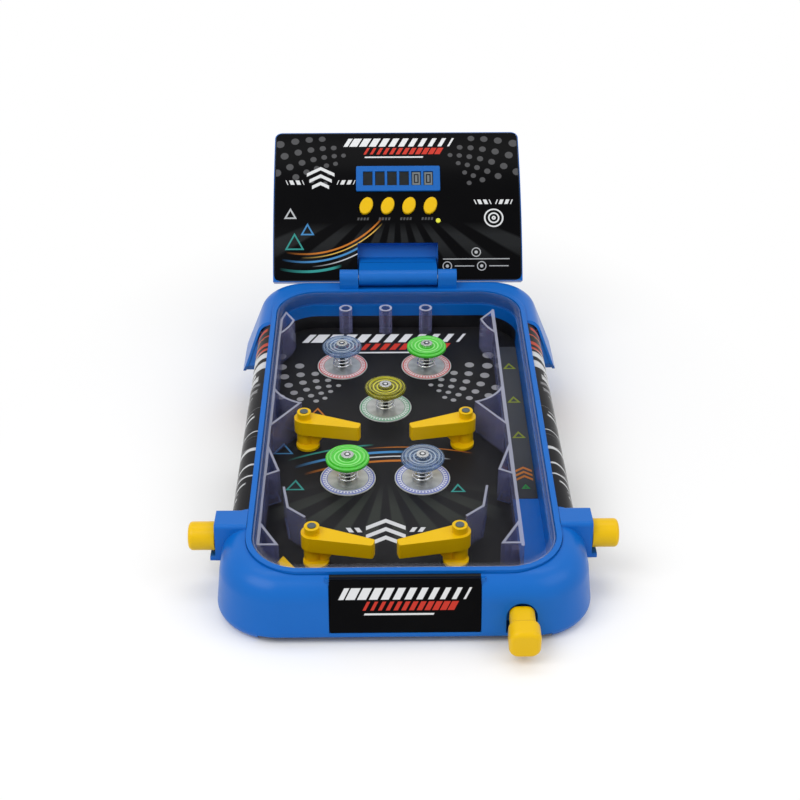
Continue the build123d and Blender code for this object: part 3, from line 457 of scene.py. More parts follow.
def clear_moulding(recipe):
    """Flow marks of a clear moulding, its shading normal and how slanted it is seen."""
    flow = recipe.noise(14.0, 3.0, 0.55, recipe.stretched((1.0, 0.3, 1.0)))
    normal = recipe.bump(flow, 0.2, 0.05, recipe.soft_edge(0.35))
    slant = recipe.node("ShaderNodeLayerWeight", {}, {"Blend": 0.5, "Normal": normal}, "Facing")
    return flow, normal, slant


def clear_mix(recipe, tint, cover, surface):
    """A surface laid thinly over plain see-through plastic."""
    through = recipe.node("ShaderNodeBsdfTransparent", {}, {"Color": (*tint, 1.0)}, "BSDF")
    sockets = {0: cover.held(), 1: through, 2: surface}
    return recipe.finish(recipe.node("ShaderNodeMixShader", {}, sockets, "Shader"))


def cover_plastic(looks):
    """Clear lid: a thin mirror gloss that builds up at a slant, tinted edges and a painted
    highlight along the top's outer edge.
    """
    recipe = Recipe("clear_cover_plastic")
    flow, normal, slant = clear_moulding(recipe)
    inside = deck_sheet(recipe).rounded(0.0, COVER_MID, COVER_WIDTH, COVER_LENGTH, COVER_CORNER)
    band = ((5.5 - inside) / 3.5).held()
    # Painted highlight: a pale line along the top's outer edge of the lid
    line = (deck_height(recipe) - COVER_TOP).held() * ((1.8 - inside) * 1.4).held()
    paint = recipe.lay((0.86, 0.88, 0.93), shade(looks.clear_tint, 0.4), band)
    paint = recipe.lay(paint, (0.6, 0.63, 0.78), line)
    gloss = recipe.shader(
        base_color=paint,
        metallic=1.0 - band,
        roughness=0.05 + flow * 0.05,
        normal=normal,
    )
    sheen = (slant * 2.0 - 1.0).held() ** 2.0 * 0.3
    cover = sheen + band * 0.1 + line * 0.16
    return clear_mix(recipe, (0.99, 0.99, 0.995), cover, gloss)


def clear_plastic(name, body, least, slanted, highlight_height, highlight_cover):
    """Clear moulded guides and posts: a faint body, stronger at a slant, with a painted highlight
    along the top edges.
    """
    recipe = Recipe(name)
    flow, normal, slant = clear_moulding(recipe)
    # Painted highlight: pale colour and more cover along the top edges
    edge = ((deck_height(recipe) - highlight_height + 0.6) * 3.0).held()
    paint = recipe.lay(shade(body, 0.8), shade(body, 1.1), flow)
    paint = recipe.lay(paint, (0.6, 0.62, 0.76), edge)
    gloss = recipe.shader(
        base_color=paint, roughness=0.07 + flow * 0.08, normal=normal, specular_ior_level=0.5
    )
    cover = slant ** 2.0 * slanted + least + flow * 0.05 + edge * highlight_cover
    return clear_mix(recipe, (0.97, 0.97, 0.99), cover, gloss)


def bright_metal(name, colour, rough, brush=(1.0, 1.0, 0.06)):
    """Bright drawn or turned steel with fine draw lines."""
    recipe = Recipe(name)
    lines = recipe.noise(0.5, 3.0, 0.6, recipe.stretched(brush))
    cloud = recipe.noise(4.0, 3.0)
    surface = recipe.shader(
        base_color=recipe.lay(shade(colour, 0.82), shade(colour, 1.05), cloud),
        metallic=1.0,
        roughness=rough + lines * 0.14,
        normal=recipe.bump(lines, 0.15, 0.01),
    )
    return recipe.finish(surface)


def deck_sheet(recipe):
    """Printing directions on the sloping deck: across, and up the slope."""
    u = recipe.along(ACROSS)
    slope = recipe.along((0.0, math.cos(DECK_TILT), math.sin(DECK_TILT)))
    start = DECK_Y * math.cos(DECK_TILT) + DECK_Z * math.sin(DECK_TILT)
    return Sheet(recipe, u, slope - start)


def deck_height(recipe):
    """Height above the deck, square to it, in millimetres."""
    rise = recipe.along((0.0, -math.sin(DECK_TILT), math.cos(DECK_TILT)))
    return rise - (DECK_Z * math.cos(DECK_TILT) - DECK_Y * math.sin(DECK_TILT))


def wall_foot_shade(recipe, paint):
    """Painted shade: a black band along the foot of the tray's rear wall, where it meets the deck.
    """
    height = deck_height(recipe)
    # Painted shade: black up to 12.5 mm above the deck on the rear wall
    band = (12.5 - height).ink(0.5) * (deck_sheet(recipe).v - 204.0).ink(2.0)
    return recipe.lay(paint, (0.012, 0.012, 0.014), band)


def crest_print(recipe, paint):
    """The label's upper edge, turned back over the apron's crest."""
    across = LABEL_HALF - abs(recipe.along(ACROSS))
    back = LABEL_CREST_Y - recipe.along(BACK)
    up = recipe.along(UP) - LABEL_CREST_Z
    return recipe.lay(paint, PRINT_BLACK, across.least(back).least(up).ink())


def board_arm(recipe):
    """Reach from the axis of the scoreboard's bow: forwards, and up."""
    return BOW_Y - recipe.along(BACK), recipe.along(UP) - BOW_Z


def board_sheet(recipe):
    """Printing directions on the bowed scoreboard face: across, and up its arc."""
    forward, rise = board_arm(recipe)
    angle = recipe.sum("ARCTAN2", rise, forward)
    return Sheet(recipe, recipe.along(ACROSS), (angle - BOARD_LEAN) * BOARD_RADIUS)


def board_depth(recipe):
    """Height over the scoreboard's bowed face, in millimetres."""
    forward, rise = board_arm(recipe)
    return forward.hypot(rise) - BOARD_RADIUS


def lip_print(recipe, paint):
    """The face sheet's black border on the housing's narrow front lip."""
    width, height = 2 * (BOARD_HALF - FACE_LIP), BOARD_ARC - 2 * FACE_LIP
    border = board_sheet(recipe).rounded(0.0, BOARD_ARC / 2, width, height, BOARD_CORNER)
    depth = board_depth(recipe)
    lip = border.ink() * (depth + 1.0).held() * (1.0 - depth * 2.0).held()
    return recipe.lay(paint, (0.002, 0.003, 0.006), lip)


def playfield_print(looks):
    """Black printed deck with dot screens, rays, bright arcs and white dashes."""
    recipe = Recipe("playfield_print")
    sheet = deck_sheet(recipe)
    paint = recipe.lay((0.011, 0.011, 0.012), (0.016, 0.016, 0.018), recipe.noise(40.0, 3.0))
    grey = (0.3, 0.3, 0.31)
    rays = sheet.rays(FIELD_U, 12.0, 22, 0.5)
    far = sheet.disc(FIELD_U, 12.0, 112.0)
    below = (-4.0 - sheet.v) / 30.0
    paint = recipe.lay(paint, (0.032, 0.036, 0.032), rays * below.held() * (far / 40.0).held())
    paint = sheet.dot_burst(
        paint, grey, FIELD_U, 100.0, near=54.0, far=126.0, low=0.2, high=0.82, step=0.21)
    arcs = (
        (176.0, 2.6, looks.arc_orange, -78.0, 20.0),
        (182.0, 1.4, (0.75, 0.76, 0.78), -60.0, 40.0),
        (188.0, 3.0, looks.arc_blue, -86.0, 6.0),
        (194.5, 1.2, looks.arc_orange, -30.0, 58.0),
        (199.0, 2.0, looks.arc_teal, -92.0, -22.0),
    )
    paint = sheet.arc_fan(paint, FIELD_U + 12.0, -150.0, arcs, 26.0, 10.0, 0.8)
    paint = sheet.open_triangles(paint, (
        (-96.0, 36.0, 17.0, looks.arc_blue),
        (-84.0, -12.0, 15.0, looks.arc_teal),
        (-70.0, 88.0, 16.0, looks.arc_orange),
        (44.0, -16.0, 12.0, looks.arc_teal),
    ))
    for v in (-71.0, -61.0, -51.0):
        paint = sheet.fill(paint, MARK_WHITE, sheet.chevron(FIELD_U, v, 30.0, 9.0, 4.6))
    for side in (-1, 1):
        for v, width in ((-80.0, 26.0), (-71.0, 18.0), (-62.0, 10.0)):
            u = FIELD_U + side * (19.0 + width / 2)
            dash = sheet.bars(u, v, width, 5.4, 8.0, 0.66, side * 0.5)
            paint = sheet.fill(paint, MARK_WHITE, dash)
    paint = sheet.stripe_band(paint, FIELD_U, 206.0, 1.7)
    return printed(recipe, paint, rough=0.3, gloss=0.08)


def lane_print(looks):
    """Dark lane strip with arrow strokes and outlined triangles."""
    recipe = Recipe("lane_print")
    sheet = deck_sheet(recipe)
    fade = ((sheet.v + 24.0) / 60.0).held()
    paint = recipe.lay((0.036, 0.038, 0.042), (0.066, 0.07, 0.076), fade)
    for v in (0.0, 5.6, 11.2):
        stroke = sheet.chevron(LANE_U, v + 4.0, 13.0, 4.6, 2.6)
        paint = sheet.fill(paint, looks.arc_orange, stroke)
    green, lime = (0.03, 0.3, 0.06), (0.3, 0.36, 0.03)
    paint = recipe.lay(paint, green, sheet.triangle(LANE_U, -12.5, 7.0, 6.0).outline(0.7))
    for v in (56.0, 108.0, 161.0):
        shape = sheet.triangle(LANE_U, v, 11.5, 9.6)
        paint = recipe.lay(paint, lime, shape.outline(0.75))
    return printed(recipe, paint, rough=0.28, gloss=0.15)


def bumper_reach(sheet):
    """Distance from the nearest bumper's axis."""
    near = None
    for u, v in BUMPERS:
        inside = sheet.disc(u, v, PLATE_RADIUS)
        near = inside if near is None else near.most(inside)
    return PLATE_RADIUS - near


def pin_steel():
    """Bright turned pins with painted light on their heads: dark and bright mottling for glints,
    painted shade in a groove round a dished middle and a painted highlight at the centre.
    """
    recipe = Recipe("bumper_pin_steel")
    radius = bumper_reach(deck_sheet(recipe))
    cloud = recipe.noise(1.4, 3.0, 0.6)
    groove = (0.5 - abs(radius - 2.1)).ink(0.5)
    # Painted glints: dark and bright mottling on the steel
    paint = recipe.lay((0.3, 0.31, 0.31), (0.72, 0.73, 0.72), cloud)
    # Painted shade in the groove round the head
    paint = recipe.lay(paint, (0.05, 0.055, 0.06), groove)
    # Painted highlight at the head's centre
    paint = recipe.lay(paint, (0.86, 0.87, 0.86), (1.2 - radius).ink(0.6) * 0.7)
    dish = (radius / 2.1).least(1.0)
    surface = recipe.shader(
        base_color=paint,
        metallic=1.0,
        roughness=0.14 + cloud * 0.2,
        normal=recipe.bump(dish * dish + cloud * 0.3, 0.6, 0.6, recipe.soft_edge(0.5)),
    )
    return recipe.finish(surface)


def plate_print():
    """Silver bumper plates with a coloured border, fine ticks and a brushed face."""
    recipe = Recipe("bumper_plate_print")
    sheet = deck_sheet(recipe)
    turn = None
    radius = bumper_reach(sheet)
    for u, v in BUMPERS:
        angle = sheet.turn(u, v)
        mine = (sheet.disc(u, v, PLATE_RADIUS + 0.6) * 40.0).held()
        turn = angle * mine if turn is None else turn + angle * mine
    upper = ((sheet.v - 136.0) * 10.0).held()
    lower = ((56.0 - sheet.v) * 10.0).held()
    border = recipe.lay((0.06, 0.34, 0.16), (0.6, 0.03, 0.025), upper)
    border = recipe.lay(border, (0.09, 0.13, 0.5), lower)
    cloud = recipe.noise(6.0, 4.0, 0.6)
    silver = recipe.lay((0.3, 0.31, 0.3), (0.62, 0.64, 0.62), cloud)
    streak = (turn * 9.0).sine() * 0.5 + 0.5
    silver = recipe.lay(silver, (0.72, 0.73, 0.7), streak * 0.3)
    paint = sheet.fill(silver, (0.8, 0.81, 0.82), 2.3 - abs(radius - 18.9))
    tick = (0.3 - abs((turn * (46.0 / (2 * math.pi))).fraction() - 0.5)) * 2.4
    ticks = (1.05 - abs(radius - 18.7)).least(tick)
    paint = recipe.lay(paint, border, ticks.ink(0.3) * 0.8)
    paint = sheet.fill(paint, border, 0.55 - abs(radius - 20.6), 0.3 - abs(radius - 16.7))
    surface = recipe.shader(
        base_color=paint,
        metallic=0.75 * (16.0 - radius).ink(),
        roughness=0.26 + cloud * 0.12,
        normal=recipe.bump(streak + cloud, 0.1, 0.03),
    )
    return recipe.finish(surface)


def cap_plastic(name, colour, ring, through, number):
    """Translucent bumper cap with turned rings about its own axis."""
    recipe = Recipe(name)
    sheet = deck_sheet(recipe)
    u, v = BUMPERS[number - 1]
    radius = CAP_RADIUS - sheet.disc(u, v, CAP_RADIUS)
    wave = (radius * (2 * math.pi / 3.1)).sine() * 0.5 + 0.5
    groove = ((wave - 0.6) * 5.0).held() * ((16.2 - radius) * 3.0).held()
    hub = ((5.4 - radius) * 4.0).held()
    drift = recipe.noise(8.0, 3.0)
    paint = recipe.lay(shade(colour, 0.88), shade(colour, 1.1), drift)
    paint = recipe.lay(paint, ring, groove * 0.8)
    paint = recipe.lay(paint, shade(colour, 0.75), hub * 0.5)
    normal = recipe.bump(1.0 - groove, 0.6, 0.3, recipe.soft_edge(0.5))
    body = recipe.shader(
        base_color=paint,
        roughness=0.14 + drift * 0.1,
        normal=normal,
        specular_ior_level=0.55,
    )
    if through <= 0.0:
        return recipe.finish(body)
    tint = tuple(0.45 + 0.55 * part / max(colour[:3]) for part in colour[:3])
    slant = recipe.node("ShaderNodeLayerWeight", {}, {"Blend": 0.4, "Normal": normal}, "Facing")
    return clear_mix(recipe, tint, 1.0 - through + groove * 0.35 + slant * 0.2, body)


def panel_print():
    """Gloss black side panels with pale brush strokes that turn red at the rear."""
    recipe = Recipe("side_panel_print")
    sheet = Sheet(recipe, recipe.along(BACK), deck_height(recipe))
    paint = recipe.lay(PRINT_BLACK, (0.008, 0.008, 0.01), recipe.noise(30.0))
    warm = ((sheet.u - 46.0) / 6.0).held()
    pale = recipe.lay(MARK_WHITE, (0.5, 0.06, 0.03), warm)
    dim = recipe.lay((0.2, 0.2, 0.21), (0.45, 0.16, 0.03), warm)
    for colour, lean, pitch, shift, low, high in (
        (dim, -0.35, 9.0, 3.0, -34.0, 34.0),
        (pale, 0.55, 17.0, 0.0, -38.0, 39.0),
        (pale, 0.9, 11.0, 5.0, -30.0, 37.0),
    ):
        paint = sheet.stroke_row(paint, colour, lean, pitch, shift, low, high)
    return printed(recipe, paint, rough=0.2, gloss=0.12)


def label_print():
    """Black front label with a band of slanted bars."""
    recipe = Recipe("label_print")
    sheet = Sheet(recipe, recipe.along(ACROSS), recipe.along(UP))
    paint = recipe.lay((0.0015, 0.0015, 0.002), (0.0035, 0.0035, 0.004), recipe.noise(24.0))
    paint = sheet.stripe_band(paint, 0.0, 33.0, 1.05)
    return printed(recipe, paint, rough=0.3, gloss=0.03)


def board_print(looks):
    """Gloss black scoreboard face with dot screens, arcs, rays and small marks."""
    recipe = Recipe("board_print")
    sheet = board_sheet(recipe)
    paint = recipe.lay((0.0012, 0.0012, 0.0016), (0.003, 0.003, 0.0036), recipe.noise(40.0))
    grey = (0.08, 0.08, 0.084)
    paint = sheet.dot_burst(
        paint, grey, 0.0, 78.0, near=70.0, far=138.0, low=0.22, high=0.84, step=0.17)
    rays = sheet.rays(0.0, 92.0, 26, 0.5)
    fall = ((56.0 - sheet.v) / 12.0).held() * ((sheet.v - 12.0) / 22.0).held()
    paint = recipe.lay(paint, (0.017, 0.018, 0.019), rays * fall)
    arcs = (
        (92.0, 1.6, looks.arc_orange, -104.0, -14.0),
        (95.5, 1.0, (0.8, 0.5, 0.1), -90.0, -14.0),
        (99.5, 1.8, looks.arc_blue, -108.0, -30.0),
        (104.0, 1.0, (0.7, 0.72, 0.75), -80.0, -30.0),
        (108.5, 2.4, looks.arc_teal, -110.0, -52.0),
    )
    below = ((80.0 - sheet.v) * 0.5).held()
    paint = sheet.arc_fan(paint, -86.0, 118.0, arcs, 30.0, 8.0, below * 0.85)
    paint = sheet.open_triangles(paint, (
        (-96.0, 30.0, 18.0, looks.arc_teal),
        (-84.0, 44.0, 13.0, looks.arc_blue),
        (-100.0, 60.0, 12.0, (0.6, 0.62, 0.64)),
    ))
    white = (0.66, 0.67, 0.68)
    for step in (0, 1, 2):
        stroke = sheet.chevron(-72.0, 112.0 - 8.0 * step, 26.0 - 5.0 * step, 7.0 - 1.4 * step, 3.6)
        paint = sheet.fill(paint, white, stroke)
    for side in (-1, 1):
        left = sheet.bars(-72.0 + side * 24.0, 97.0, 16.0, 4.6, 6.0, 0.6, side * 0.4)
        right = sheet.bars(90.0 + side * 10.0, 76.0, 15.0, 4.6, 5.4, 0.6, side * 0.4)
        paint = sheet.fill(paint, white, left, right)
    for radius in (8.4, 4.6, 1.2):
        paint = sheet.fill(paint, white, sheet.ring(90.0, 60.0, radius, 1.4))
    for u in KEY_PLACES:
        paint = sheet.fill(paint, grey, sheet.bars(u - 3.0, 59.6, 12.0, 2.6, 2.9, 0.62, 0.2))
    pale, dull = (0.45, 0.46, 0.47), (0.4, 0.41, 0.42)
    for u, v in ((73.0, 27.0), (46.0, 14.0), (78.0, 14.0)):
        paint = sheet.fill(paint, pale, sheet.ring(u, v, 4.0, 0.8), sheet.disc(u, v, 1.5))
    for u, v, width in ((73.0, 20.6, 62.0), (62.0, 14.0, 18.0), (94.0, 14.0, 18.0)):
        paint = sheet.fill(paint, dull, sheet.block(u, v, width, 0.9))
    paint = sheet.stripe_band(paint, 2.0, 136.0, 1.2)
    inside = sheet.rounded(0.0, BOARD_ARC / 2, 2 * BOARD_HALF, BOARD_ARC, BOARD_CORNER)
    paint = sheet.fill(paint, looks.body_blue, FACE_LIP - inside)
    return printed(recipe, paint, rough=0.16, gloss=0.03)


def digit_glass():
    """Dark display windows, with a plain nought in the last two."""
    recipe = Recipe("display_window")
    sheet = board_sheet(recipe)
    paint = recipe.lay((0.008, 0.01, 0.012), (0.02, 0.024, 0.026), recipe.noise(12.0))
    for place in (4, 5):
        u = DIGITS_LEFT + DIGIT_PITCH * place
        paint = sheet.fill(paint, (0.16, 0.18, 0.19), sheet.block(u, DISPLAY_ARC, 7.4, 13.4))
        nought = sheet.block(u, DISPLAY_ARC, 4.6, 9.6).outline(0.6)
        paint = recipe.lay(paint, (0.012, 0.014, 0.018), nought)
    return printed(recipe, paint, rough=0.14, gloss=0.1)


def circuit_finish(looks):
    """Green circuit board with pale tracks and a yellow lamp."""
    recipe = Recipe("circuit_board_finish")
    sheet = board_sheet(recipe)
    tracks = abs((recipe.noise(22.0, 1.0) * 14.0).fraction() - 0.5)
    paint = recipe.lay((0.012, 0.12, 0.05), (0.03, 0.24, 0.1), ((0.16 - tracks) * 9.0).held())
    lamp = sheet.disc(LAMP_U, LAMP_ARC, 3.4).ink() * ((board_depth(recipe) + 9.0) * 2.0).held()
    paint = recipe.lay(paint, looks.lamp, lamp)
    surface = recipe.shader(
        base_color=paint,
        roughness=0.3 + recipe.noise(4.0) * 0.15,
        normal=recipe.bump(tracks, 0.2, 0.05),
    )
    return recipe.finish(surface)


def wing_web(name, side):
    """Web that closes a hood wing against the side panel, in the rear cover's colour."""
    rings = []
    for y in (158.9, 160.4, 162.6, 168.0, 174.0, 180.0, 188.0, 196.0, 205.4):
        front = WING_TIP_Z - 1.5 * (y - WING_TIP_Y)
        foot = WING_FOOT_Z - (y - WING_FOOT_Y) / 22.0
        low = max(front, foot) + 0.5
        high = min(WING_TIP_Z + (y - WING_TIP_Y) / 0.7, WING_TOP_Z)
        high = max(high, low + 0.2)
        heights = (low, (low + high) / 2, high)
        ring = [(HOOD_HALF - (z - HOOD_LOW) * HOOD_LEAN + 0.2, z) for z in heights]
        ring += [(PANEL_HALF - z * PANEL_LEAN + 0.25, z) for z in reversed(heights)]
        rings.append([(side * x, DECK_Y + y, z) for x, z in ring])
    return tube(name, rings)


def deck_place(u, v, w):
    """World place of a deck place, in millimetres."""
    y = DECK_Y + v * math.cos(DECK_TILT) - w * math.sin(DECK_TILT)
    z = DECK_Z + v * math.sin(DECK_TILT) + w * math.cos(DECK_TILT)
    return Vector((u, y, z))


def coil_spring(name, start, axis, across, coil, length, wire, turns=7):
    """Compression spring of round wire with closed end turns, as one mesh tube."""
    third = axis.cross(across)
    per_turn, around = 22, 9
    close = 1.06 * wire
    rings = []
    for step in range(turns * per_turn + 1):
        turn = step / per_turn
        open_rise = close + (turn - 1.0) * (length - 2.0 * close) / (turns - 2.0)
        rise = min(max(open_rise, turn * close), length - (turns - turn) * close)
        radial = across * math.cos(2 * math.pi * turn) + third * math.sin(2 * math.pi * turn)
        middle = start + axis * rise + radial * (coil / 2)
        ring = []
        for k in range(around):
            spin = 2 * math.pi * k / around
            ring.append(middle + (radial * math.cos(spin) + axis * math.sin(spin)) * (wire / 2))
        rings.append(ring)
    return tube(name, rings, True)


def tube(name, rings, smooth=False):
    """A closed mesh piece through rings of points, in millimetres, with both ends filled."""
    count = len(rings[0])
    points = [Vector(point) / 1000.0 for ring in rings for point in ring]
    last = len(points) - count
    faces = [tuple(range(count)), tuple(range(last, len(points)))]
    for start in range(0, last, count):
        for k in range(count):
            a, b = start + k, start + (k + 1) % count
            faces.append((a, b, b + count, a + count))
    mesh = bpy.data.meshes.new(name)
    mesh.from_pydata(points, [], faces)
    shape = bmesh.new()
    shape.from_mesh(mesh)
    bmesh.ops.recalc_face_normals(shape, faces=shape.faces)
    for face in shape.faces:
        face.smooth = smooth and len(face.verts) == 4
    shape.to_mesh(mesh)
    shape.free()
    piece = bpy.data.objects.new(name, mesh)
    bpy.context.scene.collection.objects.link(piece)
    return piece


def dress(finish, *nodes):
    """Gives CAD nodes their finish."""
    for name in nodes:
        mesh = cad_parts[name].data
        mesh.materials.clear()
        mesh.materials.append(finish)


def colour_choice(name, description, colour):
    """A colour that a user may change."""
    return FloatVectorProperty(
        name=name, description=description, subtype="COLOR",
        size=4, min=0.0, max=1.0, default=(*colour, 1.0))


def length_choice(name, description, default, least):
    """A length in metres that a user may change."""
    return FloatProperty(
        name=name, description=description, unit="LENGTH", default=default, min=least)


def power_choice(name, description, default):
    """A lamp's power that a user may change."""
    return FloatProperty(
        name=name, description=description, unit="POWER", default=default, min=0.0)


class PinballLooks(bpy.types.PropertyGroup):
    """Colours of the game."""

    body_blue: colour_choice(
        "Body blue", "Colour of the case and scoreboard housing", (0.003, 0.128, 0.5))
    trim_yellow: colour_choice(
        "Trim yellow", "Colour of flippers, buttons, plunger and keys", (0.8, 0.49, 0.001))
    cap_green: colour_choice(
        "Cap green", "Colour of the two solid bumper caps", (0.065, 0.54, 0.035))
    cap_blue: colour_choice(
        "Cap smoke blue", "Colour of the two translucent blue caps", (0.15, 0.22, 0.33))
    cap_yellow: colour_choice(
        "Cap clear yellow", "Colour of the middle translucent cap", (0.2, 0.19, 0.015))
    arc_orange: colour_choice("Print orange", "Warm colour in the prints", (0.62, 0.2, 0.03))
    arc_blue: colour_choice("Print blue", "Blue in the prints", (0.08, 0.3, 0.62))
    arc_teal: colour_choice("Print teal", "Teal in the prints", (0.05, 0.36, 0.32))
    clear_tint: colour_choice(
        "Clear tint", "Body colour of the clear guides and the cover's edges", (0.33, 0.34, 0.6))
    lamp: colour_choice("Lamp", "Colour of the small lamp on the scoreboard", (0.7, 0.7, 0.03))


class PinballSprings(bpy.types.PropertyGroup):
    """Wire springs of the plunger and the flipper buttons."""

    launch_wire: length_choice(
        "Launch wire", "Wire thickness of the plunger's spring", 0.001, 0.0004)
    launch_coil: length_choice(
        "Launch coil", "Mean coil size of the plunger's spring", 0.011, 0.004)
    launch_length: length_choice(
        "Launch length", "Length of the plunger's spring at rest", 0.0272, 0.01)
    return_wire: length_choice(
        "Return wire", "Wire thickness of the buttons' springs", 0.0008, 0.0003)
    return_coil: length_choice(
        "Return coil", "Mean coil size of the buttons' springs", 0.0046, 0.002)
    return_length: length_choice(
        "Return length", "Length of the buttons' springs at rest", 0.0259, 0.01)


class PinballStage(bpy.types.PropertyGroup):
    """Camera, floor and lamps."""

    lens: FloatProperty(
        name="Lens", description="Focal length of the camera in millimetres",
        unit="CAMERA", default=65.25, min=20.0, max=200.0)
    floor: colour_choice("Floor", "Colour of the floor", (0.93, 0.93, 0.93))
    floor_size: length_choice("Floor size", "Side of the square floor", 14.0, 2.0)
    key_power: power_choice("Key light", "Power of the large lamp on the left", 13.0)
    fill_power: power_choice("Fill light", "Power of the large lamp on the right", 6.0)
    top_power: power_choice("Top light", "Power of the long lamp overhead", 6.0)
    sky: FloatProperty(
        name="Sky level", description="Strength of the even light from all round",
        default=0.62, min=0.0, max=2.0)


class PINBALL_OT_case(bpy.types.Operator):
    """Moulded blue shell, bottom plate, battery door and scoreboard housing"""

    bl_idname = "pinball.case"
    bl_label = "Case"

    def execute(self, context):
        blue = context.scene.pinball_looks.body_blue
        shells = {}
        for part, node, touch in (
            ("body", "rear_cover", None),
            ("apron", "front_apron", crest_print),
            ("housing", "board_housing", lip_print),
            # The tray's touch paints shade along the foot of its rear wall
            ("tray", "base_tray", wall_foot_shade),
        ):
            name = f"{part}_blue_plastic"
            shells[part] = moulded(name, blue, SATIN, rough=0.3, edge=0.7, touch=touch)
            dress(shells[part], node)
        bezel = moulded("bezel_blue_plastic", shade(blue, 0.85), FINE, rough=0.26, edge=0.4)
        dress(bezel, "display_bezel")
        for side, name in ((-1, "wing_web_left"), (1, "wing_web_right")):
            web = wing_web(name, side)
            web.data.materials.append(shells["body"])
            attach(web, "base")
        # Painted shade: bottom plate and battery door get a darker copy of the body blue, for the
        # shade under the case
        under = moulded("shaded_under_blue_plastic", shade(blue, 0.8), COARSE, rough=0.42, edge=0.5)
        dress(under, "bottom_plate", "battery_door")
        return {"FINISHED"}


class PINBALL_OT_panels(bpy.types.Operator):
    """Printed side panels and front label"""

    bl_idname = "pinball.panels"
    bl_label = "Panels and label"

    def execute(self, context):
        dress(panel_print(), "side_panel_left", "side_panel_right")
        dress(label_print(), "label_plate")
        return {"FINISHED"}


class PINBALL_OT_playfield(bpy.types.Operator):
    """Printed playfield sheet and launch lane strip"""

    bl_idname = "pinball.playfield"
    bl_label = "Playfield"

    def execute(self, context):
        looks = context.scene.pinball_looks
        dress(playfield_print(looks), "playfield")
        dress(lane_print(looks), "lane_strip")
        return {"FINISHED"}


class PINBALL_OT_clear_parts(bpy.types.Operator):
    """Clear cover, wall guides, lane divider and posts"""

    bl_idname = "pinball.clear_parts"
    bl_label = "Clear parts"

    def execute(self, context):
        looks = context.scene.pinball_looks
        dress(cover_plastic(looks), "clear_cover")
        tint = looks.clear_tint
        guide = clear_plastic(
            "clear_guide_plastic", tint, least=0.1, slanted=0.34, highlight_height=30.0, highlight_cover=0.26)
        dress(guide, "left_guides", "lane_divider", "inlane_guide_left", "inlane_guide_right")
        pale = shade(tint, 1.2)
        post = clear_plastic(
            "clear_post_plastic", pale, least=0.06, slanted=0.7, highlight_height=25.0, highlight_cover=0.4)
        dress(post, "lane_posts")
        return {"FINISHED"}


class PINBALL_OT_bumpers(bpy.types.Operator):
    """Five bumpers: printed plates, wire springs, headed pins and ringed caps"""

    bl_idname = "pinball.bumpers"
    bl_label = "Bumpers"

    def execute(self, context):
        looks = context.scene.pinball_looks
        dress(plate_print(), "bumper_plates")
        dress(pin_steel(), "bumper_pins")
        wire = bright_metal("bumper_wire_steel", (0.88, 0.88, 0.87), 0.12)
        for number in range(1, 6):
            dress(wire, f"bumper_spring_{number}")
        pale = (0.5, 0.57, 0.64)
        fresh = (0.3, 0.82, 0.22)
        lemon = (0.66, 0.63, 0.04)
        caps = (
            (looks.cap_blue, pale, 0.66),
            (looks.cap_green, fresh, 0.0),
            (looks.cap_yellow, lemon, 0.45),
            (looks.cap_green, fresh, 0.0),
            (looks.cap_blue, pale, 0.66),
        )
        for number, (colour, ring, through) in enumerate(caps, start=1):
            name = f"bumper_cap_{number}"
            dress(cap_plastic(name + "_plastic", colour, ring, through, number), name)
        return {"FINISHED"}


class PINBALL_OT_flippers(bpy.types.Operator):
    """Yellow flippers, buttons, plunger and drain rail, with their steel shafts"""

    bl_idname = "pinball.flippers"
    bl_label = "Flippers and controls"

    def execute(self, context):
        yellow = context.scene.pinball_looks.trim_yellow
        plastic = moulded("trim_yellow_plastic", yellow, SATIN, rough=0.32, edge=0.6)
        corners = ("lower_left", "lower_right", "upper_left", "upper_right")
        dress(plastic, *("flipper_" + corner for corner in corners))
        dress(plastic, "button_left", "button_right", "plunger", "drain_rail")
        steel = bright_metal("flipper_shaft_steel", (0.12, 0.15, 0.16), 0.3)
        dress(steel, *("flipper_shaft_" + corner for corner in corners))
        return {"FINISHED"}


class PINBALL_OT_scoreboard(bpy.types.Operator):
    """Scoreboard face, display windows, keys, circuit board and hinge pin"""

    bl_idname = "pinball.scoreboard"
    bl_label = "Scoreboard"

    def execute(self, context):
        looks = context.scene.pinball_looks
        dress(board_print(looks), "board_face")
        dress(digit_glass(), "digit_block")
        dress(circuit_finish(looks), "circuit_board")
        yellow = shade(looks.trim_yellow, 0.95)
        keys = moulded("key_yellow_plastic", yellow, FINE, rough=0.26, edge=1.3)
        dress(keys, *(f"board_key_{number}" for number in range(1, 5)))
        dress(bright_metal("hinge_pin_steel", (0.55, 0.55, 0.56), 0.24), "hinge_pin")
        return {"FINISHED"}


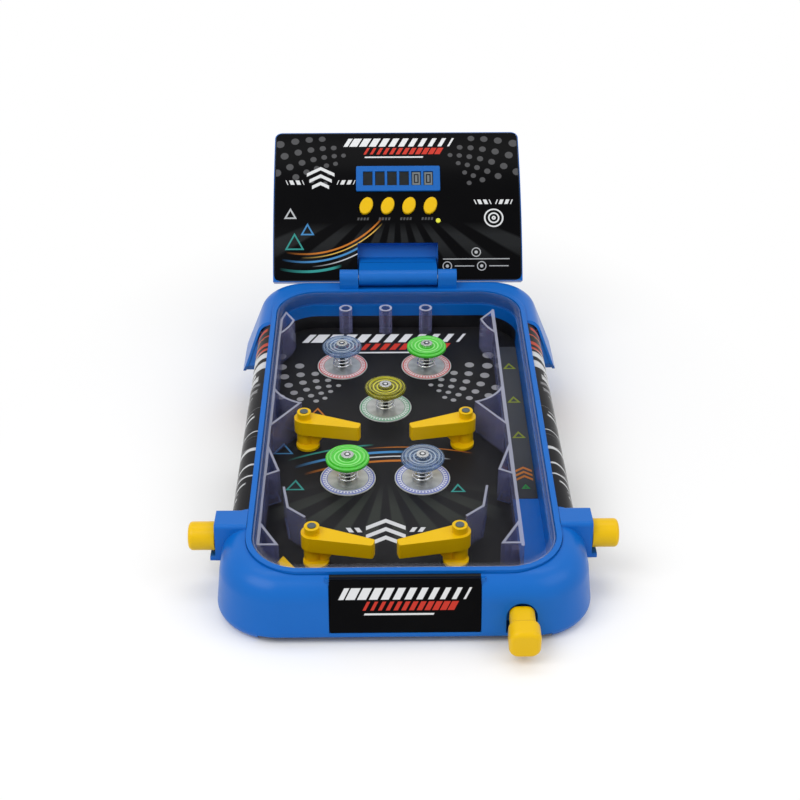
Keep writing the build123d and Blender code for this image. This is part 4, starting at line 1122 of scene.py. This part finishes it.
class PINBALL_OT_mechanism(bpy.types.Operator):
    """Push bars, springs, screws and the steel ball"""

    bl_idname = "pinball.mechanism"
    bl_label = "Mechanism"

    def execute(self, context):
        natural = moulded("natural_plastic", (0.74, 0.73, 0.69), DULL, rough=0.42, edge=0.4)
        dress(natural, "push_bar_left", "push_bar_right")
        wire = bright_metal("spring_wire_steel", (0.6, 0.6, 0.61), 0.24)
        springs = context.scene.pinball_springs
        along = Vector((0.0, math.cos(DECK_TILT), math.sin(DECK_TILT)))
        right = Vector(ACROSS)
        start = deck_place(LAUNCH_U, LAUNCH_V, LAUNCH_W)
        sizes = (springs.launch_length, springs.launch_coil, springs.launch_wire)
        self.spring(
            "launch_coil", wire, "launch_spring", "plunger_pull",
            start, along, right, sizes, LAUNCH_TRAVEL)
        sizes = (springs.return_length, springs.return_coil, springs.return_wire)
        for side, name in ((-1, "left"), (1, "right")):
            start = deck_place(FIELD_U + side * RETURN_REACH, RETURN_V, RETURN_W)
            self.spring(
                f"return_coil_{name}", wire, f"return_spring_{name}", f"{name}_button_slide",
                start, right * side, along, sizes, RETURN_TRAVEL)
        dress(bright_metal("screw_steel", (0.5, 0.5, 0.5), 0.3), "case_screws")
        dress(bright_metal("ball_steel", (0.78, 0.78, 0.79), 0.06, (1.0, 1.0, 1.0)), "ball")
        return {"FINISHED"}

    def spring(self, name, finish, node, joint, start, axis, across, sizes, travel):
        """Puts a spring in its node's place and hides the node."""
        length, coil, gauge = (1000.0 * size for size in sizes)
        piece = coil_spring(name, start, axis, across, coil, length, gauge)
        piece.data.materials.append(finish)
        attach(piece, "base")
        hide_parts(node)
        anchor = (start - axis * (gauge / 2)) / 1000.0
        keep = 1.0 - travel / (length + gauge)
        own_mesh(piece)


def area_lamp(name, power, size, place):
    """A soft rectangular lamp aimed at the game."""
    light = bpy.data.lights.new(name, "AREA")
    light.shape = "RECTANGLE"
    light.size, light.size_y = size
    light.energy = power
    lamp = bpy.data.objects.new(name, light)
    bpy.context.scene.collection.objects.link(lamp)
    lamp.location = place
    aim = Vector(LAMP_AIM) - Vector(place)
    lamp.rotation_mode = "QUATERNION"
    lamp.rotation_quaternion = aim.to_track_quat("-Z", "Y")


def seen_white(recipe):
    """1 for rays that show the backdrop: straight, in a mirror or through glass."""
    kinds = ("Is Camera Ray", "Is Glossy Ray", "Is Transmission Ray")
    first, second, third = (recipe.node("ShaderNodeLightPath", {}, {}, kind) for kind in kinds)
    return first.most(second).most(third)


class PINBALL_OT_stage(bpy.types.Operator):
    """Pale floor, even sky, soft lamps and the camera"""

    bl_idname = "pinball.stage"
    bl_label = "Stage"

    def execute(self, context):
        scene = context.scene
        stage = scene.pinball_stage
        half = stage.floor_size / 2
        mesh = bpy.data.meshes.new("floor")
        corners = ((-half, -half), (half, -half), (half, half), (-half, half))
        mesh.from_pydata([(x, y, -FLOOR_DROP) for x, y in corners], [], [(0, 1, 2, 3)])
        floor = bpy.data.objects.new("floor", mesh)
        scene.collection.objects.link(floor)
        recipe = Recipe("floor_paper")
        tone = recipe.noise(180.0, 3.0)
        paper = recipe.lay(shade(stage.floor, 0.992), shade(stage.floor, 1.0), tone)
        matt = recipe.shader(base_color=paper, roughness=0.85, specular_ior_level=0.1)
        white = recipe.node("ShaderNodeEmission", {}, {"Color": WHITE}, "Emission")
        across, back = recipe.along(ACROSS), recipe.along(BACK) * 0.6
        away = ((across.hypot(back) - 175.0) / 190.0).held()
        sockets = {0: away * seen_white(recipe), 1: matt, 2: white}
        surface = recipe.node("ShaderNodeMixShader", {}, sockets, "Shader")
        mesh.materials.append(recipe.finish(surface))

        world = bpy.data.worlds.new("studio")
        scene.world = world
        air = Recipe(world)
        level = seen_white(air) * (1.0 - stage.sky) + stage.sky
        sockets = {"Color": WHITE, "Strength": level}
        sky = air.node("ShaderNodeBackground", {}, sockets, "Background")
        air.node("ShaderNodeOutputWorld", {}, {"Surface": sky})

        area_lamp("key_lamp", stage.key_power, (1.2, 1.0), (-0.9, -0.9, 1.5))
        area_lamp("fill_lamp", stage.fill_power, (1.2, 1.0), (1.1, -0.7, 1.3))
        area_lamp("top_lamp", stage.top_power, (1.6, 0.5), (0.0, 0.3, 1.9))

        camera = bpy.data.objects.new("camera", bpy.data.cameras.new("camera"))
        scene.collection.objects.link(camera)
        camera.data.lens = stage.lens
        camera.data.sensor_width = 36.0
        camera.data.clip_start = 0.05
        camera.data.clip_end = 60.0
        forward = Vector(CAMERA_FORWARD).normalized()
        right = Vector(CAMERA_RIGHT)
        right = (right - forward * right.dot(forward)).normalized()
        upward = right.cross(forward)
        turn = Matrix((right, upward, -forward)).transposed().to_4x4()
        camera.matrix_world = Matrix.Translation(CAMERA_PLACE) @ turn
        scene.camera = camera
        scene.view_settings.view_transform = "Standard"
        return {"FINISHED"}


OPERATORS = (
    PINBALL_OT_stage,
    PINBALL_OT_case,
    PINBALL_OT_panels,
    PINBALL_OT_playfield,
    PINBALL_OT_clear_parts,
    PINBALL_OT_bumpers,
    PINBALL_OT_flippers,
    PINBALL_OT_scoreboard,
    PINBALL_OT_mechanism,
)


class PINBALL_PT_finish(bpy.types.Panel):
    """Sidebar panel that lists the game's colours and steps"""

    bl_idname = "PINBALL_PT_finish"
    bl_label = "Pinball finish"
    bl_space_type = "VIEW_3D"
    bl_region_type = "UI"
    bl_category = "Pinball"

    def draw(self, context):
        scene = context.scene
        for group in (scene.pinball_looks, scene.pinball_springs, scene.pinball_stage):
            box = self.layout.box()
            for name in group.__annotations__:
                box.prop(group, name)
        for step in OPERATORS:
            self.layout.operator(step.bl_idname)


CLASSES = (PinballLooks, PinballSprings, PinballStage, *OPERATORS, PINBALL_PT_finish)


def register():
    for cls in CLASSES:
        bpy.utils.register_class(cls)
    bpy.types.Scene.pinball_looks = PointerProperty(type=PinballLooks)
    bpy.types.Scene.pinball_springs = PointerProperty(type=PinballSprings)
    bpy.types.Scene.pinball_stage = PointerProperty(type=PinballStage)


def unregister():
    del bpy.types.Scene.pinball_stage
    del bpy.types.Scene.pinball_springs
    del bpy.types.Scene.pinball_looks
    for cls in reversed(CLASSES):
        bpy.utils.unregister_class(cls)


def main():
    register()
    bpy.ops.pinball.stage()
    bpy.ops.pinball.case()
    bpy.ops.pinball.panels()
    bpy.ops.pinball.playfield()
    bpy.ops.pinball.clear_parts()
    bpy.ops.pinball.bumpers()
    bpy.ops.pinball.flippers()
    bpy.ops.pinball.scoreboard()
    bpy.ops.pinball.mechanism()


if __name__ == "__main__":
    main()
